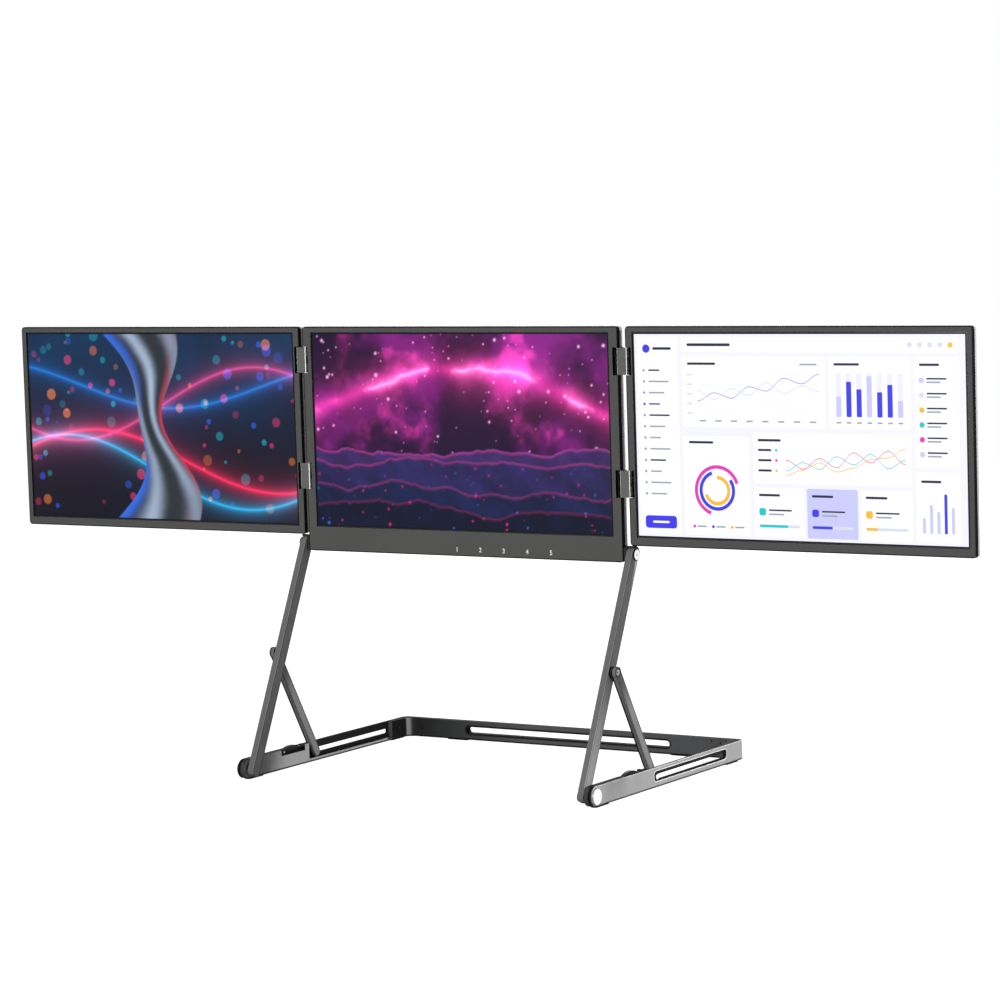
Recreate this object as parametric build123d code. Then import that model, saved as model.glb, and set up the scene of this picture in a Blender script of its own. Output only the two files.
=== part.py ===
"""A laptop screen extender: three 15.6 inch screens on a stand that folds flat.

The stand is an open frame of two side rails and a rear rail. A leg turns on a pin at the
front of each side rail, and the two legs carry the centre panel between their tops. A strut
hangs from each leg. Its foot pin slides along a stepped slot in the rail, so the strut lies
down in the rail's pocket as the leg folds back. Each side panel hangs from the centre panel
by two link blocks, and every block turns on one pin in each panel.

Lengths are millimetres and angles are degrees. X runs to the right, Y to the back and Z up.
While the pieces are made, x = 0 is the middle of the centre screen, y = 0 the front face of
the panels and z = 0 the desk. The last step moves them, so that the origin lies on the desk
under the middle of the whole object.
"""
import os
from collections import namedtuple
from math import asin, cos, degrees, radians, sin, sqrt, tan

from build123d import *

# The stand's frame
foot_pad_height = 1.0
rail_height = 19.4
rail_thickness = 8.4
rail_wall = 3.3
rail_floor = 3.4
rail_edge_chamfer = 0.5
rail_leg_gap = 2.4
pocket_before_foot_pin = 13.0
elbow_after_foot_pin = 5.4
corner_length = 37.5
rear_rail_depth = 7.9
rear_corner_radius = 8.0
elbow_inner_radius = 12.0
return_length = 40.0
seat_gap = 0.1

# The stepped slot that guides the strut's foot pin, and the long slot in the rear rail
slot_height = 4.6
slot_end_room = 1.0
slot_recess_height = 9.9
slot_recess_rise = 1.0
slot_recess_depth = 1.8
slot_recess_corner = 3.8
slot_recess_margin = 7.0
rear_slot_length = 244.0
rear_slot_height = 6.7
rear_slot_above_bottom = 10.3

# Legs and struts
leg_thickness = 6.8
leg_width = 13.0
leg_length = 238.2
leg_angle = 64.6
tilt_pin_y = 5.17
tilt_pin_below_screen = 17.73
blind_bore_skin = 1.3
leg_tail = 6.4
leg_end_chamfer = 2.4
leg_edge_chamfer = 0.5
strut_thickness = 5.0
strut_width = 10.0
strut_length = 126.2
strut_pivot_along_leg = 121.0
strut_boss_radius = 5.5
strut_wall_gap = 0.5
fold_angle = 61.0

# Pins, washers and screws
running_gap = 0.05
face_gap = 0.15
cut_over = 1.0
front_pin_radius = 3.0
front_cap_radius = 8.35
front_cap_height = 1.2
front_cap_dish = 0.35
front_cap_dish_radius = 5.2
top_pin_radius = 2.5
top_head_radius = 5.8
top_head_height = 1.4
top_dimple_radius = 0.9
top_dimple_depth = 0.5
strut_pin_radius = 2.5
strut_head_radius = 4.2
strut_head_height = 1.7
foot_pin_radius = 1.0
foot_head_radius = 2.6
foot_head_height = 1.2
washer_radius = 5.6
screw_radius = 1.25
screw_head_radius = 2.2
screw_head_height = 1.6
screw_socket_width = 2.0
counterbore_radius = 2.35
counterbore_depth = 2.4
screw_grip = 2.2
side_screw_before_rear = 24.2
rear_screw_before_side = 28.0

# Release lever in the top of each side rail
lever_before_pocket = 45.0
lever_length = 35.5
lever_width = 3.7
lever_eye_radius = 2.2
lever_pin_radius = 0.8
lever_pin_drop = 2.4
lever_rise = 2.8
lever_pad_length = 28.0
lever_tail_thickness = 1.5
lever_nub = 1.6
lever_notch_depth = 5.2
lever_end_gap = 0.7

# Rubber pads under the frame
foot_pad_length = 25.0
foot_pad_inset = 0.7

# Screens and panels
screen_width = 344.16
screen_height = 193.59
screen_rim = 0.8
bezel_top = 6.2
bezel_side_centre = 10.92
bezel_hinge_side = 8.2
bezel_outer = 6.6
chin_centre = 25.2
chin_side = 8.9
gap_right = 8.0
gap_left = 4.2
centre_depth = 10.5
centre_frame_depth = 4.3
side_depth = 9.0
side_frame_depth = 4.0
panel_corner_radius = 3.5
shell_wall = 1.2
shell_inset = 0.15
shell_edge_radius = 1.6
frame_edge_chamfer = 0.4
frame_lip = 0.9
lcd_border = 1.2
lcd_border_bottom = 5.0
lcd_thickness = 1.6
backlight_thickness = 2.4
module_gap = 0.15
board_thickness = 1.0
board_rear_gap = 0.2
centre_board_width = 190.0
centre_board_height = 13.0
side_board_width = 150.0
side_board_height = 22.0
board_above_screen = 20.0
chip_size_share = 0.66
chip_pitch_share = 0.31
chip_height_share = 0.48

# Ports in the centre panel's lower edge
port_first_x = -5.7
port_pitch = 27.0
usb_port_width = 9.0
usb_port_height = 3.3
video_port_width = 11.2
video_port_height = 3.4
port_depth = 7.4
port_wall = 0.3
port_tongue = 0.7
port_gap = 0.15
port_corner_share = 0.42
port_inner_corner_share = 0.32
port_tongue_share = 0.74

# Link hinges between the panels
hinge_low_above_screen = 49.85
hinge_high_above_screen = 166.5
block_width = 10.8
block_height = 25.4
block_depth = 6.0
block_proud = 0.3
block_edge_radius = 1.2
hinge_spacing = 6.4
hinge_pin_radius = 1.2
hinge_pin_short = 0.4
notch_depth_x = 6.2
notch_depth_y = 7.5
notch_end_gap = 0.6
notch_wall = 0.6
ear_height = 6.0
ear_end_gap = 0.3
ear_barrel_radius = 1.9
ear_arm_width = 2.6
ear_plate = 0.8
ear_block_gap = 0.2

# Tilt brackets that join the centre panel to the tops of the legs
bracket_wing = 3.3
bracket_side_gap = 0.1
bracket_leg_gap = 0.3
bracket_height = 14.0
bracket_front_y = 0.8
bracket_flange = 1.8
bracket_flange_length = 18.0
bracket_corner_radius = 2.0
hood_leg_gap = 0.4
hood_thickness = 1.4
hood_overhang = 20.0
bracket_screw_inset = 3.5
bracket_screw_pitch = 7.0

# Places that follow from the sizes above
centre_half_width = screen_width / 2 + bezel_side_centre
leg_inner_x = centre_half_width + bracket_side_gap + bracket_wing + bracket_leg_gap
leg_outer_x = leg_inner_x + leg_thickness
rail_inner_x = leg_outer_x + rail_leg_gap
rail_outer_x = rail_inner_x + rail_thickness
pocket_x = rail_outer_x - rail_wall
rail_bottom_z = foot_pad_height
rail_top_z = rail_bottom_z + rail_height
front_pin_y = tilt_pin_y - leg_length * cos(radians(leg_angle))
front_pin_z = rail_bottom_z + rail_height / 2
tilt_pin_z = front_pin_z + leg_length * sin(radians(leg_angle))
slot_z = front_pin_z
strut_outer_x = pocket_x - strut_wall_gap
strut_inner_x = strut_outer_x - strut_thickness
strut_pin_y = front_pin_y + strut_pivot_along_leg * cos(radians(leg_angle))
strut_pin_z = front_pin_z + strut_pivot_along_leg * sin(radians(leg_angle))
strut_angle = degrees(asin((strut_pin_z - slot_z) / strut_length))
foot_pin_y = strut_pin_y + strut_length * cos(radians(strut_angle))
folded_leg_angle = leg_angle - fold_angle
folded_strut_rise = strut_pivot_along_leg * sin(radians(folded_leg_angle))
foot_pin_last_y = (front_pin_y + strut_pivot_along_leg * cos(radians(folded_leg_angle))
                   + sqrt(strut_length ** 2 - folded_strut_rise ** 2))
pocket_front_y = foot_pin_y - pocket_before_foot_pin
elbow_front_y = foot_pin_last_y + elbow_after_foot_pin
stand_rear_y = elbow_front_y + corner_length
side_screw_y = stand_rear_y - side_screw_before_rear
rear_screw_x = rail_outer_x - rear_screw_before_side
rear_slot_z = rail_bottom_z + rear_slot_above_bottom
rear_rail_front_y = stand_rear_y - rear_rail_depth
lever_front_y = pocket_front_y - lever_before_pocket
lever_pin_y = lever_front_y + lever_eye_radius
lever_pin_z = rail_top_z - lever_pin_drop
hinge_pin_y = block_depth / 2 - block_proud
screen_bottom_z = tilt_pin_z + tilt_pin_below_screen
screen_top_z = screen_bottom_z + screen_height
panel_top_z = screen_top_z + bezel_top
side_width = bezel_hinge_side + screen_width + bezel_outer
hinge_heights = [screen_bottom_z + hinge_low_above_screen, screen_bottom_z + hinge_high_above_screen]
chin_bottom_z = screen_bottom_z - chin_centre

RIGHT = 1
LEFT = -1
GAPS = {RIGHT: gap_right, LEFT: gap_left}

Panel = namedtuple("Panel", "low_x high_x low_z screen_low_x frame_depth depth")


# Simple solids between stated limits

def block(x, y, z):
    """A box between the low and high limit given along each axis."""
    sizes = [high - low for low, high in (x, y, z)]
    middles = [(high + low) / 2 for low, high in (x, y, z)]
    return Pos(*middles) * Box(*sizes)


def rod_x(y, z, radius, x):
    """A round bar along X."""
    return Pos((x[0] + x[1]) / 2, y, z) * Rot(0, 90, 0) * Cylinder(radius, x[1] - x[0])


def rod_y(x, z, radius, y):
    """A round bar along Y."""
    return Pos(x, (y[0] + y[1]) / 2, z) * Rot(90, 0, 0) * Cylinder(radius, y[1] - y[0])


def rod_z(x, y, radius, z):
    """A round bar along Z."""
    return Pos(x, y, (z[0] + z[1]) / 2) * Cylinder(radius, z[1] - z[0])


def side_plate(outline, x):
    """A plate whose outline is drawn in Y and Z, between two x limits."""
    return extrude(Plane.YZ.offset(x[0]) * outline, amount=x[1] - x[0])


def front_plate(outline, y):
    """A plate whose outline is drawn in X and Z, between two y limits."""
    return extrude(Plane.XZ.offset(-y[1]) * outline, amount=y[1] - y[0])


def across(x, side):
    """A pair of x limits on the right, or the same pair mirrored to the left."""
    return tuple(sorted((side * x[0], side * x[1])))


def both_sides(piece):
    """A right-hand piece and its mirror image on the left."""
    return Compound(children=[piece, mirror(piece, about=Plane.YZ)])


def left_of(piece):
    """The left-hand mirror image of a right-hand piece."""
    return mirror(piece, about=Plane.YZ)


# Side rails, rear rail and what joins them

def rail_outline():
    """A side rail seen from the side: square at the back, round about the pin in front."""
    length = stand_rear_y - front_pin_y
    bar = Pos(front_pin_y + length / 2, front_pin_z) * Rectangle(length, rail_height)
    return bar + Pos(front_pin_y, front_pin_z) * Circle(rail_height / 2)


def guide_slot(height, y, middle_z, corner):
    """The outline of one step of the guide slot."""
    middle_y = (y[0] + y[1]) / 2
    return Pos(middle_y, middle_z) * RectangleRounded(y[1] - y[0], height, corner)


def corner_outline(inset):
    """The stand's right rear corner in plan, drawn in by an inset all round."""
    width = return_length + rail_thickness
    high_x = rail_outer_x - inset
    high_y = stand_rear_y - inset
    length = high_y - elbow_front_y
    outline = Pos(high_x - width / 2, high_y - length / 2) * Rectangle(width, length)
    corner = outline.vertices().sort_by(Axis.X)[-2:].sort_by(Axis.Y)[-1]
    return fillet(corner, rear_corner_radius - inset)


def rail_return():
    """The wall of a side rail that wraps the rear corner and runs a little way inwards."""
    wall = corner_outline(0) - corner_outline(rail_wall)
    low_x = rail_outer_x - return_length
    keep = Pos(low_x + return_length / 2, (elbow_front_y + stand_rear_y) / 2)
    wall = wall & keep * Rectangle(return_length, stand_rear_y - elbow_front_y)
    return extrude(Plane.XY.offset(rail_bottom_z) * wall, amount=rail_height)


def side_rail():
    """The right rail: solid in front, then a pocket that is open on top and inside."""
    rail = side_plate(rail_outline(), (rail_inner_x, rail_outer_x))
    over = rail_height
    rail -= block((rail_inner_x - over, rail_outer_x + over),
                  (elbow_front_y, stand_rear_y + over),
                  (rail_bottom_z - over, rail_top_z + over))
    rail -= block((rail_inner_x - over, pocket_x),
                  (pocket_front_y, elbow_front_y),
                  (rail_bottom_z + rail_floor, rail_top_z + over))
    rail += rail_return()
    outer_edges = rail.edges().filter_by(GeomType.LINE).filter_by(Axis.Y).group_by(Axis.X)[-1]
    rail = chamfer(outer_edges, rail_edge_chamfer)
    recess_y = (foot_pin_y - slot_recess_margin, elbow_front_y - rail_edge_chamfer)
    recess_floor_x = rail_outer_x - slot_recess_depth
    recess = guide_slot(slot_recess_height, recess_y, slot_z + slot_recess_rise, slot_recess_corner)
    rail -= side_plate(recess, (recess_floor_x, rail_outer_x + over))
    slot_y = (foot_pin_y - slot_height / 2 - slot_end_room,
              foot_pin_last_y + slot_height / 2 + slot_end_room)
    slot = guide_slot(slot_height, slot_y, slot_z, slot_height / 2 - seat_gap)
    rail -= side_plate(slot, (pocket_x - over, recess_floor_x))
    rail -= rod_x(front_pin_y, front_pin_z, front_pin_radius + running_gap,
                  (rail_inner_x - over, rail_outer_x + over))
    rail -= rod_x(side_screw_y, front_pin_z, screw_radius + running_gap,
                  (pocket_x, pocket_x + screw_grip))
    rail -= rod_y(rear_screw_x, rear_slot_z, screw_radius + running_gap,
                  (stand_rear_y - rail_wall, stand_rear_y - rail_wall + screw_grip))
    return rail - lever_notch()


def rear_rail():
    """The cross rail with an elbow at each end, which seats in the side rails' corners."""
    fit = rail_wall + seat_gap
    low_x = rail_outer_x - return_length - seat_gap
    elbow = corner_outline(fit)
    opening_x = (rail_outer_x - return_length - rail_thickness - fit, rail_inner_x)
    opening_y = (elbow_front_y, rear_rail_front_y)
    opening = Pos(sum(opening_x) / 2, sum(opening_y) / 2)
    hollow = opening * Rectangle(opening_x[1] - opening_x[0], opening_y[1] - opening_y[0])
    corner = hollow.vertices().sort_by(Axis.X)[-2:].sort_by(Axis.Y)[-1]
    elbow -= fillet(corner, elbow_inner_radius)
    elbow = extrude(Plane.XY.offset(rail_bottom_z) * elbow, amount=rail_height)
    elbow -= block((rail_inner_x - elbow_inner_radius, rail_outer_x),
                   (elbow_front_y - rail_height, elbow_front_y + seat_gap),
                   (rail_bottom_z - rail_height, rail_top_z + rail_height))
    bar = block((-low_x, low_x), (rear_rail_front_y, stand_rear_y), (rail_bottom_z, rail_top_z))
    rail = bar + elbow + left_of(elbow)
    long_edges = rail.edges().filter_by(Axis.X).group_by(Axis.Y)[0]
    rail = chamfer(long_edges, rail_edge_chamfer)
    slot = Pos(0, rear_slot_z) * SlotOverall(rear_slot_length, rear_slot_height)
    rail -= front_plate(slot, (rear_rail_front_y - rail_height, stand_rear_y + rail_height))
    for side in (RIGHT, LEFT):
        rail -= screw_hole_x(side)
        rail -= screw_hole_y(side)
    return rail


def screw_hole_x(side):
    """The counterbored hole through an elbow's inner face."""
    deep = rail_inner_x + counterbore_depth
    hole = rod_x(side_screw_y, front_pin_z, screw_radius + running_gap,
                 (rail_inner_x - rail_thickness, pocket_x))
    hole += rod_x(side_screw_y, front_pin_z, counterbore_radius,
                  (rail_inner_x - rail_thickness, deep))
    return hole if side == RIGHT else left_of(hole)


def screw_hole_y(side):
    """The counterbored hole through the rear rail's front face."""
    deep = rear_rail_front_y + counterbore_depth
    hole = rod_y(side * rear_screw_x, rear_slot_z, screw_radius + running_gap,
                 (rear_rail_front_y - rail_thickness, stand_rear_y - rail_wall))
    hole += rod_y(side * rear_screw_x, rear_slot_z, counterbore_radius,
                  (rear_rail_front_y - rail_thickness, deep))
    return hole


def socket_screw(length):
    """A socket-head screw along +Z, with the underside of its head at z = 0."""
    screw = Pos(0, 0, -screw_head_height / 2) * Cylinder(screw_head_radius, screw_head_height)
    screw += Pos(0, 0, length / 2) * Cylinder(screw_radius, length)
    socket = RegularPolygon(screw_socket_width / 2, 6, major_radius=False)
    return screw - extrude(Plane.XY.offset(-screw_head_height) * socket, amount=screw_head_height / 2)


def corner_screws():
    """The four screws that fix the rear rail's elbows to the side rails."""
    under_head_x = rail_inner_x + counterbore_depth
    under_head_y = rear_rail_front_y + counterbore_depth
    reach_x = pocket_x + screw_grip - running_gap - under_head_x
    reach_y = stand_rear_y - rail_wall + screw_grip - running_gap - under_head_y
    side_screw = Pos(under_head_x, side_screw_y, front_pin_z) * Rot(0, 90, 0) * socket_screw(reach_x)
    rear_screw = Pos(rear_screw_x, under_head_y, rear_slot_z) * Rot(-90, 0, 0) * socket_screw(reach_y)
    return Compound(children=[side_screw, left_of(side_screw), rear_screw, left_of(rear_screw)])


def rubber_feet():
    """Pads under the front and rear of each side rail and under the rear rail's ends."""
    width = rail_thickness - 2 * foot_pad_inset
    middle_x = rail_outer_x - rail_thickness / 2
    rear_depth = rear_rail_depth - 2 * foot_pad_inset
    places = [
        (middle_x, front_pin_y + foot_pad_length / 2, width, foot_pad_length),
        (middle_x, elbow_front_y + foot_pad_length / 2 + seat_gap, width, foot_pad_length),
        (rear_slot_length / 2 + foot_pad_length / 2, stand_rear_y - rear_rail_depth / 2,
         foot_pad_length, rear_depth),
    ]
    pads = []
    for x, y, size_x, size_y in places:
        outline = Pos(x, y) * RectangleRounded(size_x, size_y, min(size_x, size_y) / 3)
        pad = extrude(outline, amount=foot_pad_height)
        pads += [pad, left_of(pad)]
    return Compound(children=pads)


# Release levers

def lever_notch():
    """The room for a lever, cut into the rail's top and inner face."""
    low_z = rail_top_z - lever_notch_depth
    end_y = lever_front_y + lever_length + lever_end_gap
    room = block((rail_inner_x - rail_thickness, rail_inner_x + lever_width + 2 * seat_gap),
                 (lever_front_y - lever_end_gap, end_y),
                 (low_z, rail_top_z + rail_height))
    return room + lever_pin_hole()


def lever_pin_hole():
    """The blind hole in the rail that holds the lever's pin."""
    start_x = rail_inner_x + lever_width
    return rod_x(lever_pin_y, lever_pin_z, lever_pin_radius + running_gap,
                 (start_x, start_x + rail_wall / 2))


def release_lever():
    """A lever with a domed thumb pad, hinged in front, with a thin tail and a nub behind."""
    pad_end_y = lever_front_y + lever_pad_length
    end_y = lever_front_y + lever_length
    pad_top_z = rail_top_z + lever_rise
    tail_top_z = rail_top_z - running_gap
    tail_low_z = tail_top_z - lever_tail_thickness
    with BuildSketch() as outline:
        with BuildLine():
            front = Line((lever_pin_y, tail_low_z), (lever_pin_y, tail_top_z))
            dome = ThreePointArc(front @ 1, (lever_pin_y + lever_pad_length / 2, pad_top_z),
                                 (pad_end_y, tail_top_z))
            Polyline(dome @ 1, (end_y, tail_top_z), (end_y, tail_low_z), front @ 0)
        make_face()
    shape = outline.sketch + Pos(lever_pin_y, lever_pin_z) * Circle(lever_eye_radius)
    nub_y = end_y - lever_nub
    shape += Pos(nub_y, tail_top_z) * Circle(lever_nub)
    shape -= Pos(lever_pin_y, lever_pin_z) * Circle(lever_pin_radius + running_gap)
    low_x = rail_inner_x + seat_gap
    return side_plate(shape, (low_x, low_x + lever_width))


def lever_pins():
    """The cross pins that the two levers turn on."""
    low_x = rail_inner_x + seat_gap
    end_x = rail_inner_x + lever_width + rail_wall / 2 - running_gap
    return both_sides(rod_x(lever_pin_y, lever_pin_z, lever_pin_radius, (low_x, end_x)))


# Front pins, legs and struts

def front_pins():
    """The pins that the legs turn on, with a dished cap outside."""
    pin = rod_x(front_pin_y, front_pin_z, front_pin_radius,
                (leg_inner_x + blind_bore_skin + face_gap, rail_outer_x + front_cap_height / 2))
    cap_x = (rail_outer_x, rail_outer_x + front_cap_height)
    cap = rod_x(front_pin_y, front_pin_z, front_cap_radius, cap_x)
    cap = fillet(cap.edges().group_by(Axis.X)[-1], front_cap_height / 2)
    dish = rod_x(front_pin_y, front_pin_z, front_cap_dish_radius,
                 (cap_x[1] - front_cap_dish, cap_x[1] + front_cap_height))
    return both_sides(pin + cap - dish)


def washer(y, z, bore, x):
    """A washer on a pin along X."""
    return rod_x(y, z, washer_radius, x) - rod_x(y, z, bore, (x[0] - cut_over, x[1] + cut_over))


def front_washers():
    """The washers between the legs and the rails."""
    x = (leg_outer_x + face_gap, rail_inner_x - face_gap)
    return both_sides(washer(front_pin_y, front_pin_z, front_pin_radius + running_gap, x))


def leg():
    """The right leg: a flat bar, chamfered at the foot and round at the top.

    The bores for the front pin and the strut's screw are blind, so its inner face is plain.
    """
    bar = Pos((leg_length - leg_tail) / 2, 0) * Rectangle(leg_length + leg_tail, leg_width)
    bar = chamfer(bar.vertices().group_by(Axis.X)[0], leg_end_chamfer)
    bar += Pos(leg_length, 0) * Circle(leg_width / 2)
    bar -= Pos(leg_length, 0) * Circle(top_pin_radius + running_gap)
    bar = Pos(front_pin_y, front_pin_z) * Rot(0, 0, leg_angle) * bar
    solid = side_plate(bar, (leg_inner_x, leg_outer_x))
    faces = solid.faces().filter_by(Axis.X)
    edges = [edge for face in faces for edge in face.outer_wire().edges()]
    solid = chamfer(edges, leg_edge_chamfer)
    bore_x = (leg_inner_x + blind_bore_skin, leg_outer_x + cut_over)
    solid -= rod_x(front_pin_y, front_pin_z, front_pin_radius + running_gap, bore_x)
    return solid - rod_x(strut_pin_y, strut_pin_z, strut_pin_radius + running_gap, bore_x)


def strut_pivot():
    """The screw that joins strut and leg, with its head sunk in the strut's outer face."""
    head_x = (strut_outer_x - seat_gap - strut_head_height, strut_outer_x - seat_gap)
    screw = rod_x(strut_pin_y, strut_pin_z, strut_pin_radius,
                  (leg_inner_x + blind_bore_skin + face_gap, head_x[1]))
    screw += rod_x(strut_pin_y, strut_pin_z, strut_head_radius, head_x)
    socket = Pos(strut_pin_y, strut_pin_z) * RegularPolygon(screw_socket_width, 6, major_radius=False)
    return screw - side_plate(socket, (head_x[1] - strut_head_height / 2, head_x[1] + cut_over))


def strut_washer():
    """The washer between the strut and the leg."""
    x = (leg_outer_x + face_gap, strut_inner_x - face_gap)
    return washer(strut_pin_y, strut_pin_z, strut_pin_radius + running_gap, x)


def strut():
    """The right strut: a flat bar with a round boss at the top and a round foot."""
    bar = Pos(strut_length / 2, 0) * SlotCenterToCenter(strut_length, strut_width)
    bar += Circle(strut_boss_radius)
    bar -= Circle(strut_pin_radius + running_gap)
    bar = Pos(strut_pin_y, strut_pin_z) * Rot(0, 0, -strut_angle) * bar
    solid = side_plate(bar, (strut_inner_x, strut_outer_x))
    solid -= rod_x(foot_pin_y, slot_z, foot_pin_radius + running_gap,
                   (strut_inner_x + blind_bore_skin, strut_outer_x + cut_over))
    sink = strut_head_height + seat_gap + running_gap
    return solid - rod_x(strut_pin_y, strut_pin_z, strut_head_radius + seat_gap,
                         (strut_outer_x - sink, strut_outer_x + cut_over))


def foot_pin():
    """The pin at the strut's foot, whose head runs in the outer step of the guide slot."""
    head_low_x = rail_outer_x - slot_recess_depth + face_gap
    pin = rod_x(foot_pin_y, slot_z, foot_pin_radius,
                (strut_inner_x + blind_bore_skin + running_gap, head_low_x))
    head = rod_x(foot_pin_y, slot_z, foot_head_radius, (head_low_x, head_low_x + foot_head_height))
    return pin + fillet(head.edges().group_by(Axis.X)[-1], foot_head_height / 3)


# Panels

def centre_panel():
    """The limits of the centre panel."""
    return Panel(-centre_half_width, centre_half_width, chin_bottom_z,
                 -screen_width / 2, centre_frame_depth, centre_depth)


def side_panel(side):
    """The limits of a side panel."""
    inner = centre_half_width + GAPS[side]
    low_x, high_x = across((inner, inner + side_width), side)
    screen_x = across((inner + bezel_hinge_side, inner + bezel_hinge_side + screen_width), side)
    return Panel(low_x, high_x, screen_bottom_z - chin_side, screen_x[0],
                 side_frame_depth, side_depth)


def panel_plate(panel, y, inset):
    """The panel's outline with round corners, drawn in by an inset, between two y limits."""
    size_x = panel.high_x - panel.low_x - 2 * inset
    size_z = panel_top_z - panel.low_z - 2 * inset
    middle = Pos((panel.high_x + panel.low_x) / 2, (panel_top_z + panel.low_z) / 2)
    corner = max(panel_corner_radius - inset, frame_edge_chamfer)
    return front_plate(middle * RectangleRounded(size_x, size_z, corner), y)


def screen_block(panel, y, side_margin, bottom_margin):
    """A block that covers the screen and a margin round it."""
    return block((panel.screen_low_x - side_margin,
                  panel.screen_low_x + screen_width + side_margin),
                 y,
                 (screen_bottom_z - bottom_margin, screen_top_z + side_margin))


def block_centre_x(side):
    """Where the link blocks stand: in the middle of the gap between two panels."""
    return side * (centre_half_width + GAPS[side] / 2)


def notches(edge_x, inward, grow=0.0):
    """The notches for the link blocks in one panel edge, opened to the front."""
    low, high = sorted((edge_x - inward * notch_depth_x, edge_x + inward * (notch_depth_x + grow)))
    half = block_height / 2 + notch_end_gap + grow
    depth = notch_depth_y if grow == 0 else side_depth + centre_depth
    cuts = [block((low, high), (-block_depth, depth), (z - half, z + half)) for z in hinge_heights]
    return cuts[0] + cuts[1]


def hinge_edges(panel_side):
    """Each hinged edge of a panel, with the direction that leads into the panel."""
    if panel_side is None:
        return [(centre_half_width, -1), (-centre_half_width, 1)]
    return [(panel_side * (centre_half_width + GAPS[panel_side]), panel_side)]


def front_frame(panel, panel_side):
    """The front frame: a thin lip round the screen and a pocket for the screen behind it."""
    frame = panel_plate(panel, (0, panel.frame_depth), 0)
    frame = chamfer(frame.faces().sort_by(Axis.Y)[0].edges(), frame_edge_chamfer)
    frame -= screen_block(panel, (-cut_over, panel.depth), screen_rim, screen_rim)
    frame -= screen_block(panel, (frame_lip, panel.depth),
                          lcd_border + module_gap, lcd_border_bottom + module_gap)
    for edge_x, inward in hinge_edges(panel_side):
        frame -= notches(edge_x, inward)
    return frame


def rear_shell(panel, panel_side):
    """The metal rear shell: a thin tray, thicker where the link blocks are let in."""
    shell = panel_plate(panel, (panel.frame_depth, panel.depth), shell_inset)
    shell = fillet(shell.faces().sort_by(Axis.Y)[-1].edges(), shell_edge_radius)
    cavity = panel_plate(panel, (panel.frame_depth - cut_over, panel.depth - shell_wall),
                         shell_wall + shell_inset)
    for edge_x, inward in hinge_edges(panel_side):
        cavity -= notches(edge_x, inward, notch_wall)
    shell -= cavity
    for edge_x, inward in hinge_edges(panel_side):
        shell -= notches(edge_x, inward)
    return shell


def lcd_panel(panel):
    """The glass of the display, seated behind the frame's lip."""
    return screen_block(panel, (frame_lip, frame_lip + lcd_thickness), lcd_border, lcd_border_bottom)


def backlight(panel):
    """The backlight unit behind the display glass."""
    low_y = frame_lip + lcd_thickness
    return screen_block(panel, (low_y, low_y + backlight_thickness), lcd_border, lcd_border_bottom)


def driver_board(middle_x, low_z, size, rear_y):
    """A circuit board with its chips, fixed to the inside of the rear shell."""
    board_y = (rear_y - board_rear_gap - board_thickness, rear_y - board_rear_gap)
    board = block((middle_x - size[0] / 2, middle_x + size[0] / 2), board_y, (low_z, low_z + size[1]))
    chip_z = low_z + size[1] / 2
    half_x = size[1] * chip_size_share / 2
    half_z = size[1] * chip_height_share / 2
    for step in (-1, 0, 1):
        chip_x = middle_x + step * size[0] * chip_pitch_share
        board += block((chip_x - half_x, chip_x + half_x),
                       (board_y[0] - board_thickness, board_y[0]),
                       (chip_z - half_z, chip_z + half_z))
    return board


def centre_driver_board():
    """The board in the chin, which carries the ports."""
    low_z = chin_bottom_z + port_depth + shell_wall + shell_inset + port_gap
    return driver_board(0, low_z, (centre_board_width, centre_board_height),
                        centre_depth - shell_wall)


def side_driver_board(side):
    """The small board behind a side screen."""
    panel = side_panel(side)
    return driver_board((panel.low_x + panel.high_x) / 2, screen_bottom_z + board_above_screen,
                        (side_board_width, side_board_height), side_depth - shell_wall)


# Ports

def ports():
    """The middle x, width and height of each port, from left to right."""
    sizes = 2 * [(usb_port_width, usb_port_height)] + 3 * [(video_port_width, video_port_height)]
    return [(port_first_x + n * port_pitch, *size) for n, size in enumerate(sizes)]


def port_middle_y():
    """The ports lie in the middle of the rear shell's lower wall."""
    return (centre_frame_depth + centre_depth - shell_wall) / 2


def port_openings():
    """The openings in the rear shell's lower wall."""
    openings = []
    for x, width, height in ports():
        outline = RectangleRounded(width + 2 * port_gap, height + 2 * port_gap,
                                   height * port_corner_share)
        hole = extrude(Pos(x, port_middle_y(), chin_bottom_z - cut_over) * outline, amount=port_depth)
        openings.append(hole)
    return openings


def port_sockets():
    """The metal sockets with their tongues, flush with the panel's lower edge."""
    low_z = chin_bottom_z + shell_inset
    sockets = []
    for x, width, height in ports():
        place = Pos(x, port_middle_y(), low_z)
        outer = RectangleRounded(width, height, height * port_corner_share)
        outside = extrude(place * outer, amount=port_depth)
        inner = RectangleRounded(width - 2 * port_wall, height - 2 * port_wall,
                                 height * port_inner_corner_share)
        outside -= extrude(place * inner, amount=port_depth - port_wall)
        tongue = Pos(0, 0, port_tongue) * place * Rectangle(width * port_tongue_share, port_tongue)
        sockets.append(outside + extrude(tongue, amount=port_depth - port_tongue))
    return Compound(children=sockets)


# Link hinges

def hinge_pin_x(side, inner):
    """The x of a hinge pin: the inner one in the centre panel or the outer one."""
    return block_centre_x(side) + side * hinge_spacing / 2 * (-1 if inner else 1)


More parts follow.
